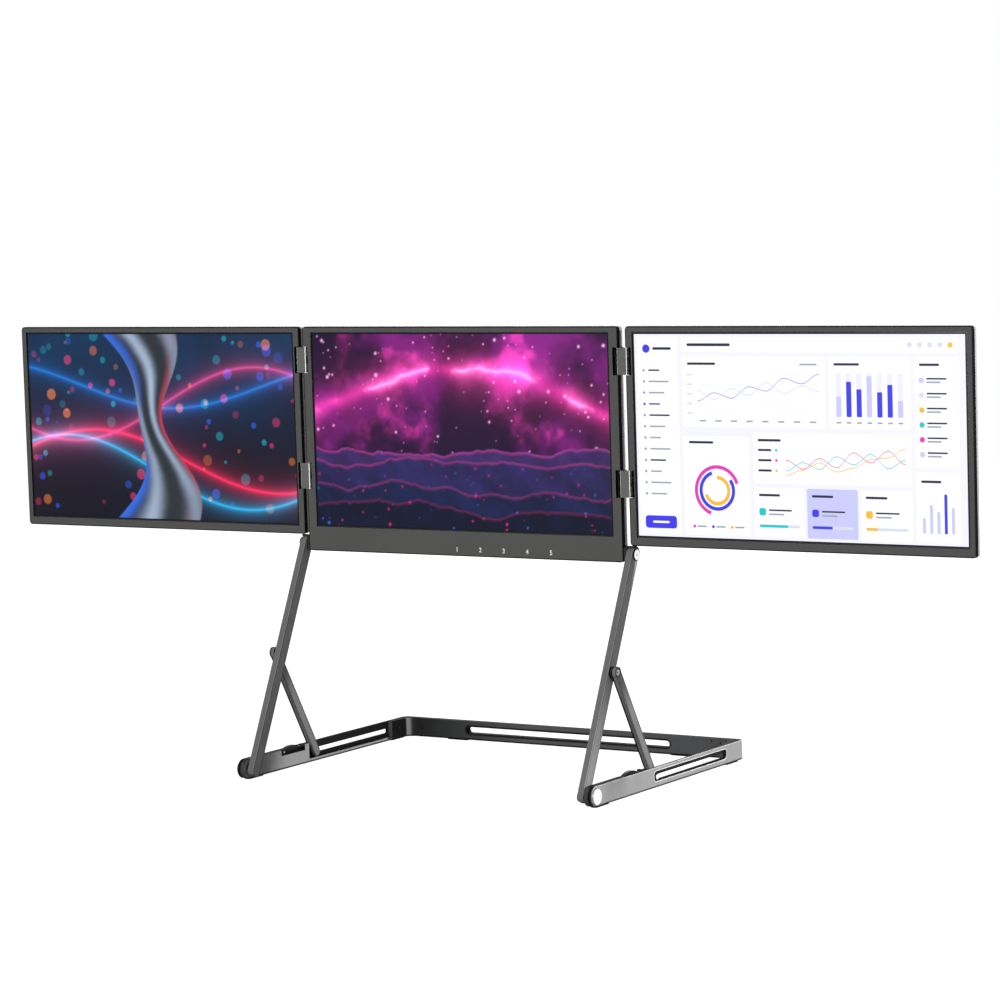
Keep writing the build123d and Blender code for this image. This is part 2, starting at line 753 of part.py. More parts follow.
def hinge_blocks(side):
    """The link blocks of one side, hollowed behind the front wall for the panels' ears."""
    middle_x = block_centre_x(side)
    low_y = -block_proud
    solids = []
    for z in hinge_heights:
        half = block_height / 2
        link = block((middle_x - block_width / 2, middle_x + block_width / 2),
                     (low_y, low_y + block_depth), (z - half, z + half))
        link = fillet(link.edges().filter_by(Axis.Z), block_edge_radius)
        for inner in (True, False):
            pin_x = hinge_pin_x(side, inner)
            towards = -side if inner else side
            room = ear_barrel_radius + ear_block_gap
            low, high = sorted((pin_x - towards * room, pin_x + towards * block_width))
            tall = ear_height / 2 + ear_end_gap
            link -= block((low, high), (hinge_pin_y - room, hinge_pin_y + block_depth),
                          (z - tall, z + tall))
            link -= rod_z(pin_x, hinge_pin_y, hinge_pin_radius + running_gap,
                          (z - block_height, z + block_height))
        solids.append(link)
    return Compound(children=solids)


def hinge_pins(pin_xs):
    """Hinge pins at each x, one in each link block."""
    half = block_height / 2 - hinge_pin_short
    return Compound(children=[rod_z(x, hinge_pin_y, hinge_pin_radius, (z - half, z + half))
                              for x in pin_xs for z in hinge_heights])


def hinge_ears(pin_x, edge_x, inward):
    """The ears in one panel edge: a plate over the notch floor and an arm forward to the pin."""
    arm_x = (pin_x - ear_arm_width / 2, pin_x + ear_arm_width / 2)
    wall_x = edge_x + inward * (notch_depth_x - face_gap)
    plate_x = (min(arm_x[0], wall_x), max(arm_x[1], wall_x))
    ears = []
    for z in hinge_heights:
        tall = (z - ear_height / 2, z + ear_height / 2)
        plate_half = block_height / 2 + notch_end_gap - face_gap
        ear = block(plate_x, (notch_depth_y - ear_plate, notch_depth_y),
                    (z - plate_half, z + plate_half))
        ear += block(arm_x, (hinge_pin_y, notch_depth_y), tall)
        ear += rod_z(pin_x, hinge_pin_y, ear_barrel_radius, tall)
        ear -= rod_z(pin_x, hinge_pin_y, hinge_pin_radius + running_gap,
                     (tall[0] - cut_over, tall[1] + cut_over))
        ears.append(ear)
    return ears


def centre_hinge_ears():
    """The centre panel's ears on both edges."""
    ears = []
    for side in (RIGHT, LEFT):
        ears += hinge_ears(hinge_pin_x(side, True), side * centre_half_width, -side)
    return Compound(children=ears)


def side_hinge_ears(side):
    """A side panel's ears on its inner edge."""
    edge_x = side * (centre_half_width + GAPS[side])
    return Compound(children=hinge_ears(hinge_pin_x(side, False), edge_x, side))


# Tilt brackets

def bracket_x():
    """The x limits of the bracket's side wing, between the panel and the leg."""
    low_x = centre_half_width + bracket_side_gap
    return (low_x, low_x + bracket_wing)


def bracket_z():
    """The z limits of a bracket, about the tilt pin."""
    low_z = chin_bottom_z + face_gap
    return (low_z, low_z + bracket_height)


def bracket_hood():
    """The curved cover over the leg's round top, from behind it to a little past its crest."""
    inner = leg_width / 2 + hood_leg_gap
    outer = inner + hood_thickness
    far = 2 * outer
    sector = Polygon((0, 0), (far, 0), (far, far), (-far * tan(radians(hood_overhang)), far), align=None)
    cover = (Circle(outer) - Circle(inner)) & sector
    return side_plate(Pos(tilt_pin_y, tilt_pin_z) * cover, (bracket_x()[0], leg_outer_x))


def tilt_bracket():
    """An angle with a wing beside the panel, a flange behind the shell and a hood on the wing."""
    rear_y = centre_depth + bracket_flange
    wing = block(bracket_x(), (bracket_front_y, rear_y), bracket_z())
    wing = fillet(wing.edges().filter_by(Axis.X).group_by(Axis.Y)[0], bracket_corner_radius)
    flange_x = (bracket_x()[1] - bracket_flange_length, bracket_x()[1])
    flange = block(flange_x, (centre_depth, rear_y), bracket_z())
    bracket = wing + flange + bracket_hood()
    bracket -= rod_x(tilt_pin_y, tilt_pin_z, top_pin_radius + running_gap,
                     (flange_x[0], flange_x[1] + cut_over))
    for x in bracket_screw_xs():
        bracket -= rod_y(x, bracket_middle_z(), screw_radius + running_gap,
                         (centre_depth - cut_over, rear_y + cut_over))
    return bracket


def bracket_middle_z():
    """The height of the bracket's screws."""
    return sum(bracket_z()) / 2


def bracket_screw_xs():
    """The x of the screws through a bracket's flange."""
    first = bracket_x()[1] - bracket_flange_length + bracket_screw_inset
    return [first, first + bracket_screw_pitch]


def bracket_screws():
    """The screws that fix both brackets to the rear shell."""
    under_head_y = centre_depth + bracket_flange
    screws = []
    for x in bracket_screw_xs():
        screw = Pos(x, under_head_y, bracket_middle_z()) * Rot(90, 0, 0)
        screw = screw * socket_screw(bracket_flange + shell_wall - running_gap)
        screws += [screw, left_of(screw)]
    return Compound(children=screws)


def bracket_screw_holes():
    """The holes in the rear shell for the bracket screws."""
    return [rod_y(side * x, bracket_middle_z(), screw_radius + running_gap,
                  (centre_depth - shell_wall - cut_over, centre_depth + cut_over))
            for side in (RIGHT, LEFT) for x in bracket_screw_xs()]


def top_pins():
    """The pins that the panel tilts on, fixed in the brackets and running in the legs."""
    head_x = leg_outer_x + face_gap
    pin = rod_x(tilt_pin_y, tilt_pin_z, top_pin_radius, (bracket_x()[0], head_x + top_head_height / 2))
    head = rod_x(tilt_pin_y, tilt_pin_z, top_head_radius, (head_x, head_x + top_head_height))
    head = fillet(head.edges().group_by(Axis.X)[-1], top_head_height / 2)
    head_top_x = head_x + top_head_height
    dimple = rod_x(tilt_pin_y, tilt_pin_z, top_dimple_radius,
                   (head_top_x - top_dimple_depth, head_top_x + cut_over))
    return both_sides(pin + head - dimple)


def centre_rear_shell():
    """The centre panel's rear shell, with its port openings and bracket holes."""
    shell = rear_shell(centre_panel(), None)
    for cut in port_openings() + bracket_screw_holes():
        shell -= cut
    return shell


def all_nodes():
    """Every named piece of the extender."""
    nodes = {
        "side_rail_right": side_rail(),
        "side_rail_left": left_of(side_rail()),
        "rear_rail": rear_rail(),
        "corner_screws": corner_screws(),
        "rubber_feet": rubber_feet(),
        "front_pins": front_pins(),
        "front_washers": front_washers(),
        "lever_pins": lever_pins(),
        "release_lever_right": release_lever(),
        "release_lever_left": left_of(release_lever()),
        "leg_right": leg(),
        "leg_left": left_of(leg()),
        "strut_pivot_right": strut_pivot(),
        "strut_pivot_left": left_of(strut_pivot()),
        "strut_washer_right": strut_washer(),
        "strut_washer_left": left_of(strut_washer()),
        "strut_right": strut(),
        "strut_left": left_of(strut()),
        "foot_pin_right": foot_pin(),
        "foot_pin_left": left_of(foot_pin()),
        "centre_front_frame": front_frame(centre_panel(), None),
        "centre_rear_shell": centre_rear_shell(),
        "centre_lcd_panel": lcd_panel(centre_panel()),
        "centre_backlight": backlight(centre_panel()),
        "centre_driver_board": centre_driver_board(),
        "port_sockets": port_sockets(),
        "centre_hinge_ears": centre_hinge_ears(),
        "centre_hinge_pins": hinge_pins([hinge_pin_x(RIGHT, True), hinge_pin_x(LEFT, True)]),
        "tilt_brackets": both_sides(tilt_bracket()),
        "bracket_screws": bracket_screws(),
        "top_pins": top_pins(),
    }
    for name, side in (("right", RIGHT), ("left", LEFT)):
        panel = side_panel(side)
        nodes[f"{name}_hinge_blocks"] = hinge_blocks(side)
        nodes[f"{name}_front_frame"] = front_frame(panel, side)
        nodes[f"{name}_rear_shell"] = rear_shell(panel, side)
        nodes[f"{name}_lcd_panel"] = lcd_panel(panel)
        nodes[f"{name}_backlight"] = backlight(panel)
        nodes[f"{name}_driver_board"] = side_driver_board(side)
        nodes[f"{name}_hinge_ears"] = side_hinge_ears(side)
        nodes[f"{name}_hinge_pins"] = hinge_pins([hinge_pin_x(side, False)])
    return nodes


# The origin: on the desk, under the middle of the whole object
origin_x = (side_panel(RIGHT).high_x + side_panel(LEFT).low_x) / 2
origin_y = (front_pin_y - rail_height / 2 + stand_rear_y) / 2

if __name__ == "__main__":
    os.makedirs("parts", exist_ok=True)
    for node, shape in all_nodes().items():
        placed = Pos(-origin_x, -origin_y, 0) * shape
        export_step(placed, f"parts/{node}.step")
    print(f"foot pin from y {foot_pin_y:.2f} to {foot_pin_last_y:.2f}, strut at {strut_angle:.2f} degrees")
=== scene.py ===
"""The looks of a three-screen laptop extender on its folding stand.

The pieces come in the order in which the product is put together: the room, the stand's rails,
its pins, the legs and struts, the levers, then the panels with their hinges, their lit screens
and their numerals. Lengths are metres, in the same frame as the solids.
"""

from math import cos, pi, radians, sin

import bpy
import numpy as np
from mathutils import Matrix, Vector


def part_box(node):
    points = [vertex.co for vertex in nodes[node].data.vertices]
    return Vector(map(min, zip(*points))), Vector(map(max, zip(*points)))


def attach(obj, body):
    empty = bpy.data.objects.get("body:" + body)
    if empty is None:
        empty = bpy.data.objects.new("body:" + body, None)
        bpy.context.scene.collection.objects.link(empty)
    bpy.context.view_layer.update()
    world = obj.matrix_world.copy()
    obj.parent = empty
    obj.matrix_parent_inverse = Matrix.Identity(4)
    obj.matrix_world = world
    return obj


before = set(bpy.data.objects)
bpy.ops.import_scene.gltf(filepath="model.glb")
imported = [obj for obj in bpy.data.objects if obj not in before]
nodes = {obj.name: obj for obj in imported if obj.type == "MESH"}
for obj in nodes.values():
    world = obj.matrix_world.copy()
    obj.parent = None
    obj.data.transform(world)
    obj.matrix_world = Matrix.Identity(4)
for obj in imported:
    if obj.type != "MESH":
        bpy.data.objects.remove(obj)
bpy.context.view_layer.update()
millimetre = 0.001


# ---------------------------------------------------------------------------------------------
# The room: a white floor that runs to the horizon, a white sky, soft lamps and the camera.
# The sky and floor are white only by their own colour, and the floor keeps the shadow.

def new_material(name):
    """A material with an empty node tree but for its output and one Principled shader."""
    material = bpy.data.materials.new(name)
    material.use_nodes = True
    tree = material.node_tree
    return material, tree, tree.nodes["Principled BSDF"]


def feed(made, **inputs):
    """Gives a node's inputs a value or a link; an underscore stands for a space in the label."""
    for label, value in inputs.items():
        plug(made.inputs[label.replace("_", " ")], value)


def plug(socket, value):
    """Gives one input its value, or links it to another node's output."""
    if isinstance(value, bpy.types.NodeSocket):
        socket.id_data.links.new(value, socket)
    elif socket.type == "RGBA":
        socket.default_value = (*value, 1.0)[:4]
    else:
        socket.default_value = value


def node(tree, kind, *inputs, **settings):
    """One shader node, with its inputs in order, then its properties and inputs by name."""
    made = tree.nodes.new(kind)
    properties = [key for key in settings if key in made.bl_rna.properties]
    for key in properties:
        setattr(made, key, settings[key])
    for socket, value in zip(made.inputs, inputs):
        if value is not None:
            plug(socket, value)
    feed(made, **{key: value for key, value in settings.items() if key not in properties})
    return made


def maths(tree, operation, *inputs):
    """What a Math node gives."""
    return node(tree, "ShaderNodeMath", *inputs, operation=operation).outputs[0]


def vectors(tree, operation, *inputs, **labelled):
    """What a Vector Math node gives: a number for a length or a dot product, else a vector."""
    made = node(tree, "ShaderNodeVectorMath", *inputs, operation=operation, **labelled)
    return made.outputs["Value" if operation in ("LENGTH", "DOT_PRODUCT") else "Vector"]


def ramp(tree, value, start, end, low=0.0, high=1.0):
    """A value that goes from low at the start to high at the end, and stays so beyond them."""
    return node(tree, "ShaderNodeMapRange", value, start, end, low, high).outputs[0]


def blend(tree, share, first, second):
    """The first colour where the share is 0 and the second where it is 1."""
    made = node(tree, "ShaderNodeMix", share, data_type="RGBA")
    plug(made.inputs[6], first)
    plug(made.inputs[7], second)
    return made.outputs[2]


def split(tree, vector):
    """The three numbers of a vector."""
    return tuple(node(tree, "ShaderNodeSeparateXYZ", vector).outputs)


def neutral(level):
    """A colour without hue."""
    return (level, level, level)


def seen_directly(tree):
    """1 for rays from the camera, off gloss or through glass, and 0 for light on the object."""
    ray = node(tree, "ShaderNodeLightPath").outputs
    seen = maths(tree, "MAXIMUM", ray["Is Camera Ray"], ray["Is Glossy Ray"])
    return maths(tree, "MAXIMUM", seen, ray["Is Transmission Ray"])


world = bpy.data.worlds.new("white room")
bpy.context.scene.world = world
world.use_nodes = True
sky = world.node_tree
sky.nodes.clear()
sky_up = split(sky, node(sky, "ShaderNodeTexCoord").outputs["Generated"])[2]
sky_light = node(sky, "ShaderNodeBackground", neutral(1.0),
                 Strength=ramp(sky, sky_up, 0.0, 1.0, 0.12, 0.16))
sky_seen = node(sky, "ShaderNodeBackground", neutral(1.0))
sky_mix = node(sky, "ShaderNodeMixShader", seen_directly(sky), sky_light.outputs[0],
               sky_seen.outputs[0])
node(sky, "ShaderNodeOutputWorld", sky_mix.outputs[0])

floor_half = 30.0
floor_glow = 0.97
floor_mesh = bpy.data.meshes.new("floor")
floor_mesh.from_pydata([(-floor_half, -floor_half, 0), (floor_half, -floor_half, 0),
                        (floor_half, floor_half, 0), (-floor_half, floor_half, 0)],
                       [], [(0, 1, 2, 3)])
floor = bpy.data.objects.new("floor", floor_mesh)
bpy.context.collection.objects.link(floor)
floor_paint, floor_tree, floor_shader = new_material("white floor")
feed(floor_shader, Base_Color=neutral(0.22), Roughness=1.0, Specular_IOR_Level=0.0,
     Emission_Color=neutral(1.0),
     Emission_Strength=maths(floor_tree, "MULTIPLY", seen_directly(floor_tree), floor_glow))
floor_mesh.materials.append(floor_paint)


def soft_lamp(name, place, aim, size, watts):
    """A square lamp that looks from its place towards the aim point."""
    light = bpy.data.lights.new(name, "AREA")
    light.shape = "SQUARE"
    light.size = size
    light.energy = watts
    lamp = bpy.data.objects.new(name, light)
    lamp.location = place
    lamp.rotation_euler = (Vector(aim) - Vector(place)).to_track_quat("-Z", "Y").to_euler()
    lamp.visible_camera = False
    bpy.context.collection.objects.link(lamp)


soft_lamp("lamp in front", (-0.1, -2.5, 0.8), (0, 0, 0.2), 1.1, 52.0)
soft_lamp("lamp at the right", (1.54, 0.160, 0.913), (0.1, 0, 0.1), 0.12, 32.0)
soft_lamp("low lamp at the right", (2.4, 0.1, 0.45), (0.1, 0, 0.1), 0.5, 11.0)
soft_lamp("lamp behind", (-1.2, 2.2, 1.0), (0, 0, 0.2), 1.4, 40.0)

camera_data = bpy.data.cameras.new("camera")
camera_data.lens = 127.88
camera_data.sensor_width = 36.0
camera_data.clip_end = 200.0
camera = bpy.data.objects.new("camera", camera_data)
bpy.context.collection.objects.link(camera)
bpy.context.scene.camera = camera
camera_place = Vector((1.88821, -2.9369, 0.59859))
camera_forward = Vector((-0.53507, 0.83958, -0.09389)).normalized()
camera_right = Vector((0.84447, 0.53475, -0.03026)).normalized()
camera_up = camera_right.cross(camera_forward)
turn = Matrix((camera_right, camera_up, -camera_forward)).transposed().to_4x4()
camera.matrix_world = Matrix.Translation(camera_place) @ turn
bpy.context.scene.view_settings.view_transform = "Standard"


# ---------------------------------------------------------------------------------------------
# The rails: extruded aluminium bars, bead-blasted and anodised in a dark grey. The two side
# rails are painted lighter and the rear rail with its elbows darker, as lit and shaded copies of
# one finish.

def new_group(name, inputs, numbers=()):
    """A shader node group that gives a colour and the named numbers.

    The value of each input shows its kind: four numbers are a colour and three a vector. Given
    back are the group, its inputs, and the place and the normal of the surface.
    """
    group = bpy.data.node_groups.new(name, "ShaderNodeTree")
    kinds = {1: "NodeSocketFloat", 3: "NodeSocketVector", 4: "NodeSocketColor"}
    for label, value in inputs.items():
        kind = kinds[np.size(value)]
        group.interface.new_socket(label, in_out="INPUT", socket_type=kind).default_value = value
    group.interface.new_socket("Color", in_out="OUTPUT", socket_type="NodeSocketColor")
    for label in numbers:
        group.interface.new_socket(label, in_out="OUTPUT", socket_type="NodeSocketFloat")
    given = group.nodes.new("NodeGroupInput").outputs
    place = node(group, "ShaderNodeTexCoord").outputs
    return group, given, place["Object"], place["Normal"]


any_colour = (0.1, 0.1, 0.1, 1.0)
nowhere = (0.0, 0.0, 0.0)
# The grain also paints light and shade by the way a face looks: faces across the given axis take
# the edge colour, chamfers the chamfer colour, and chamfers that look towards the shade side the
# shade colour.
grain, given, place, normal = new_group(
    "blasted grain",
    {"Color": any_colour, "Chamfer Color": any_colour, "Edge Color": any_colour,
     "Face": (1.0, 0.0, 0.0), "Scale": 2500.0, "Tone": 0.12, "Roughness": 0.4,
     "Edge Roughness": 0.4, "Stretch": (1.0, 1.0, 1.0), "Shade Side": nowhere,
     "Shade Color": (0.02, 0.02, 0.02, 1.0)},
    ("Roughness", "Height", "Chamfer"))
facing = maths(grain, "ABSOLUTE", vectors(grain, "DOT_PRODUCT", normal, given["Face"]))
off_edge = ramp(grain, facing, 0.48, 0.60)
on_face = ramp(grain, facing, 0.80, 0.92)
off_face = maths(grain, "SUBTRACT", 1.0, on_face)
in_shade = ramp(grain, vectors(grain, "DOT_PRODUCT", normal, given["Shade Side"]), 0.30, 0.40)
colour = blend(grain, in_shade, given["Chamfer Color"], given["Shade Color"])
colour = blend(grain, off_edge, given["Edge Color"], colour)
colour = blend(grain, on_face, colour, given["Color"])
stretched = node(grain, "ShaderNodeMapping", place, Scale=given["Stretch"]).outputs["Vector"]
fine = node(grain, "ShaderNodeTexNoise", stretched, Scale=given["Scale"], Detail=3.0)
broad = node(grain, "ShaderNodeTexNoise", place, Scale=9.0, Detail=2.0).outputs["Fac"]
speckle = maths(grain, "MULTIPLY_ADD", fine.outputs["Fac"], 0.5, broad)
tone = ramp(grain, speckle, 0.5, 1.0, maths(grain, "SUBTRACT", 1.0, given["Tone"]),
            maths(grain, "ADD", 1.0, given["Tone"]))
gloss = node(grain, "ShaderNodeMix", on_face, None, given["Edge Roughness"], given["Roughness"],
             data_type="FLOAT").outputs[0]
node(grain, "NodeGroupOutput", Color=vectors(grain, "SCALE", colour, Scale=tone),
     Roughness=maths(grain, "MULTIPLY", ramp(grain, broad, 0.0, 1.0, 0.85, 1.15), gloss),
     Height=fine.outputs["Fac"], Chamfer=maths(grain, "MULTIPLY", off_face, off_edge))


def grained(name, colour, roughness, metallic=0.0, edge=None, chamfer=None, face=(1.0, 0.0, 0.0),
            scale=2500.0, tone=0.1, depth=0.00002, stretch=(1.0, 1.0, 1.0), specular=0.04,
            cut_chamfer=False, shade_side=nowhere):
    """A material with fine grain in its tone, its gloss and its surface.

    Faces that look along the given axis have the colour, those across it the edge colour with
    a duller finish, and the chamfers between them a third colour. Where these colours differ they
    are painted light and shade: lit and shaded copies of one finish, and painted highlights and
    shade on the chamfers. A cut chamfer is bare metal, and chamfers that look towards the shade
    side are painted nearly black with shade.
    """
    material, tree, shader = new_material(name)
    edge = edge or colour
    surface = node(tree, "ShaderNodeGroup", node_tree=grain, name="grain", Color=colour,
                   Edge_Color=edge, Chamfer_Color=chamfer or colour, Face=face, Scale=scale,
                   Tone=tone, Roughness=roughness, Stretch=stretch, Shade_Side=shade_side,
                   Edge_Roughness=roughness if edge == colour else 0.8).outputs
    bump = node(tree, "ShaderNodeBump", Strength=0.35, Distance=depth, Height=surface["Height"])
    feed(shader, Base_Color=surface["Color"], Roughness=surface["Roughness"],
         Normal=bump.outputs["Normal"], Specular_IOR_Level=specular,
         Metallic=surface["Chamfer"] if cut_chamfer else metallic)
    return material


def paint(material, *names):
    """Gives the named CAD nodes a material."""
    for name in names:
        for slot in nodes[name].material_slots:
            slot.material = material


def mark(material, group, **inputs):
    """Leads a grained material's colour through a group on its way to the shader."""
    tree = material.node_tree
    marks = node(tree, "ShaderNodeGroup", node_tree=group,
                 Color=tree.nodes["grain"].outputs["Color"], **inputs)
    feed(tree.nodes["Principled BSDF"], Base_Color=marks.outputs["Color"])


def past_box(tree, place, middle, half):
    """How far a place lies past the faces of a box along each axis; negative within it."""
    off_middle = vectors(tree, "ABSOLUTE", vectors(tree, "SUBTRACT", place, middle))
    return vectors(tree, "SUBTRACT", off_middle, half)


def distance(tree, past, plane):
    """The distance from a box, measured in a plane: the length of what is past its faces."""
    outside = vectors(tree, "MAXIMUM", past, nowhere)
    return vectors(tree, "LENGTH", vectors(tree, "MULTIPLY", outside, plane))


# Painted shade and highlight: the side rails' tops, bottoms and ends take the near-black edge
# colour, their lower chamfers the shade colour, and their other chamfers a painted highlight.
side_rail_metal = grained("anodised side rail", (0.28, 0.28, 0.285), 0.45,
                          edge=(0.010, 0.010, 0.011), chamfer=neutral(0.45),
                          stretch=(1.0, 0.12, 1.0), shade_side=(0.0, 0.0, -1.0))
paint(side_rail_metal, "side_rail_right", "side_rail_left")
# Painted shade and highlight: the rear rail's tops, bottoms and the elbows' inner sides take the
# near-black edge colour, its top chamfers the shade colour, and the elbows' fillets a painted
# highlight.
rear_rail_metal = grained("anodised rear rail", (0.085, 0.086, 0.089), 0.40,
                          edge=neutral(0.005), chamfer=neutral(0.16), face=(0.0, 1.0, 0.0),
                          stretch=(0.12, 1.0, 1.0), shade_side=(0.0, 0.0, 1.0))
paint(rear_rail_metal, "rear_rail")
rubber = grained("rubber pad", (0.012, 0.012, 0.013), 0.85, scale=900.0, tone=0.3, depth=0.00006)
paint(rubber, "rubber_feet")
black_steel = grained("blackened screw steel", (0.03, 0.03, 0.032), 0.32, 0.7, tone=0.25,
                      specular=0.5)
paint(black_steel, "corner_screws", "bracket_screws")

# The rear rail's front face carries painted shade: it is darker towards its left end, past the
# elbow; three tiny black discs paint the shade in small holes near its right end; and there is a
# dark rim round its long slot and a dark line along its lower edge.
# The near-black of painted shade, used wherever shade is painted black.
shade_black = neutral(0.006)
rail_low, rail_high = (Vector(corner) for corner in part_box("rear_rail"))
rail_middle_x = (rail_low.x + rail_high.x) / 2
rear_slot_half = 118.65 * millimetre
rear_slot_radius = 3.35 * millimetre
rear_slot_height = 10.3 * millimetre
rear_shade, given, place, _ = new_group("rear rail painted shade", {"Color": any_colour})
x, y, z = split(rear_shade, place)
on_front = ramp(rear_shade, y, rail_high.y - 4.0 * millimetre, rail_high.y - 5.0 * millimetre)
colour = given["Color"]
# Painted shade: black discs for three tiny holes.
for right_of_middle, height in ((170.5, 17.6), (180.8, 16.2), (187.7, 18.7)):
    hole = (rail_middle_x + right_of_middle * millimetre, 0.0, height * millimetre)
    off_hole = vectors(rear_shade, "MULTIPLY", vectors(rear_shade, "SUBTRACT", place, hole),
                       (1.0, 0.0, 1.0))
    disc = ramp(rear_shade, vectors(rear_shade, "LENGTH", off_hole),
                1.1 * millimetre, 0.8 * millimetre)
    colour = blend(rear_shade, maths(rear_shade, "MULTIPLY", disc, on_front), colour, neutral(0.0))
# Painted shade: darker towards the left end, past the elbow.
left_shade = ramp(rear_shade, x, rail_low.x + 20.0 * millimetre, rail_low.x + 150.0 * millimetre,
                 0.22, 1.0)
past_elbow = ramp(rear_shade, x, rail_low.x + 9.0 * millimetre, rail_low.x + 12.0 * millimetre)
colour = blend(rear_shade, past_elbow, colour,
               vectors(rear_shade, "SCALE", colour, Scale=left_shade))
# Painted shade: a dark rim round the slot and a dark line along the lower edge.
slot_middle = (rail_middle_x, 0.0, rail_low.z + rear_slot_height)
past_slot = past_box(rear_shade, place, slot_middle, (rear_slot_half, 0.0, 0.0))
rim = ramp(rear_shade, distance(rear_shade, past_slot, (1.0, 0.0, 1.0)),
           rear_slot_radius + 2.6 * millimetre, rear_slot_radius + 1.2 * millimetre)
rear_low_shade = ramp(rear_shade, z, rail_low.z + 1.9 * millimetre, rail_low.z + 1.1 * millimetre)
slot_or_low_shade = maths(rear_shade, "MAXIMUM", rim, rear_low_shade)
colour = blend(rear_shade, maths(rear_shade, "MULTIPLY", slot_or_low_shade, on_front), colour,
               shade_black)
node(rear_shade, "NodeGroupOutput", Color=colour)
mark(rear_rail_metal, rear_shade)

# The side rails' painted light and shade: the recess round the guide slot has a painted highlight
# on its rim and painted shade, black, on its walls; faces that look forwards, such as the rounded
# front end, are painted a dark grey, lighter than the black tops; and painted shade makes a dark
# line along the lower edge and in the corner behind the recess. The inner side is painted black
# with shade round the release lever.
recess_length = 143.65 * millimetre
recess_height = 9.9 * millimetre
recess_corner = 3.8 * millimetre
recess_before_pin = 7.0 * millimetre
recess_above_pin = 1.0 * millimetre
foot_low, foot_high = (Vector(corner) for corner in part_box("foot_pin_right"))
lever_low, lever_high = (Vector(corner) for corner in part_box("release_lever_right"))
lever_half = (lever_high.y - lever_low.y) / 2
outer_half = (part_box("side_rail_right")[1][0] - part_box("side_rail_left")[0][0]) / 2
slot_light_and_shade, given, place, normal = new_group(
    "slot painted light and shade",
    {"Color": any_colour, "Middle": nowhere, "Half": (1.0, 1.0, 1.0), "Corner": 0.004})
past_recess = past_box(slot_light_and_shade, place, given["Middle"], given["Half"])
depth = split(slot_light_and_shade, past_recess)[0]
_, y, z = split(slot_light_and_shade, place)
# Painted light: faces that look forwards are lighter than the black tops.
lit_front = ramp(slot_light_and_shade, split(slot_light_and_shade, normal)[1], -0.15, -0.75)
colour = blend(slot_light_and_shade, lit_front, given["Color"], (0.050, 0.053, 0.058))
# Painted shade: the recess walls are black.
below_face = ramp(slot_light_and_shade, depth, -0.4 * millimetre, -1.2 * millimetre)
above_bottom = ramp(slot_light_and_shade, depth, -4.4 * millimetre, -4.0 * millimetre)
colour = blend(slot_light_and_shade, maths(slot_light_and_shade, "MULTIPLY", below_face, above_bottom), colour,
               shade_black)
# Painted highlight: a bright line round the recess edge.
off_rim = maths(slot_light_and_shade, "SUBTRACT", distance(slot_light_and_shade, past_recess, (0.0, 1.0, 1.0)),
                given["Corner"])
rim = ramp(slot_light_and_shade, maths(slot_light_and_shade, "ABSOLUTE", off_rim), 0.9 * millimetre, 0.6 * millimetre)
rim_highlight = maths(slot_light_and_shade, "MULTIPLY", rim, maths(slot_light_and_shade, "SUBTRACT", 1.0, below_face))
colour = blend(slot_light_and_shade, rim_highlight, colour, neutral(0.62))
# Painted shade: a dark line along the lower edge and in the inner corner behind the recess.
low_edge_shade = ramp(slot_light_and_shade, z, rail_low.z + 1.9 * millimetre, rail_low.z + 1.2 * millimetre)
inner_side = ramp(slot_light_and_shade, depth, -4.4 * millimetre, -4.8 * millimetre)
behind = ramp(slot_light_and_shade, y, rail_low.y - 9.0 * millimetre, rail_low.y - 8.5 * millimetre)
corner = maths(slot_light_and_shade, "MULTIPLY", inner_side, behind)
colour = blend(slot_light_and_shade, maths(slot_light_and_shade, "MAXIMUM", low_edge_shade, corner), colour, neutral(0.03))
# Painted shade: black round the release lever on the inner side.
off_lever = maths(slot_light_and_shade, "ABSOLUTE", maths(slot_light_and_shade, "SUBTRACT", y,
                                                (lever_low.y + lever_high.y) / 2))
along_lever = ramp(slot_light_and_shade, off_lever, lever_half + 3.0 * millimetre,
                   lever_half + 2.5 * millimetre)
over_lever = ramp(slot_light_and_shade, z, lever_low.z - 1.5 * millimetre, lever_low.z - 1.0 * millimetre)
near_lever = maths(slot_light_and_shade, "MULTIPLY", along_lever, over_lever)
deep = ramp(slot_light_and_shade, depth, -2.0 * millimetre, -2.5 * millimetre)
colour = blend(slot_light_and_shade, maths(slot_light_and_shade, "MULTIPLY", near_lever, deep), colour, shade_black)
node(slot_light_and_shade, "NodeGroupOutput", Color=colour)
mark(side_rail_metal, slot_light_and_shade, Corner=recess_corner,
     Middle=(rail_middle_x,
             (foot_low.y + foot_high.y) / 2 - recess_before_pin + recess_length / 2,
             (foot_low.z + foot_high.z) / 2 + recess_above_pin),
     Half=(outer_half, recess_length / 2 - recess_corner, recess_height / 2 - recess_corner))


# ---------------------------------------------------------------------------------------------
# Pins and washers: turned steel. The front caps and the heads at the tops of the legs
# are bright, with fine rings from the lathe; the strut screws are darker.

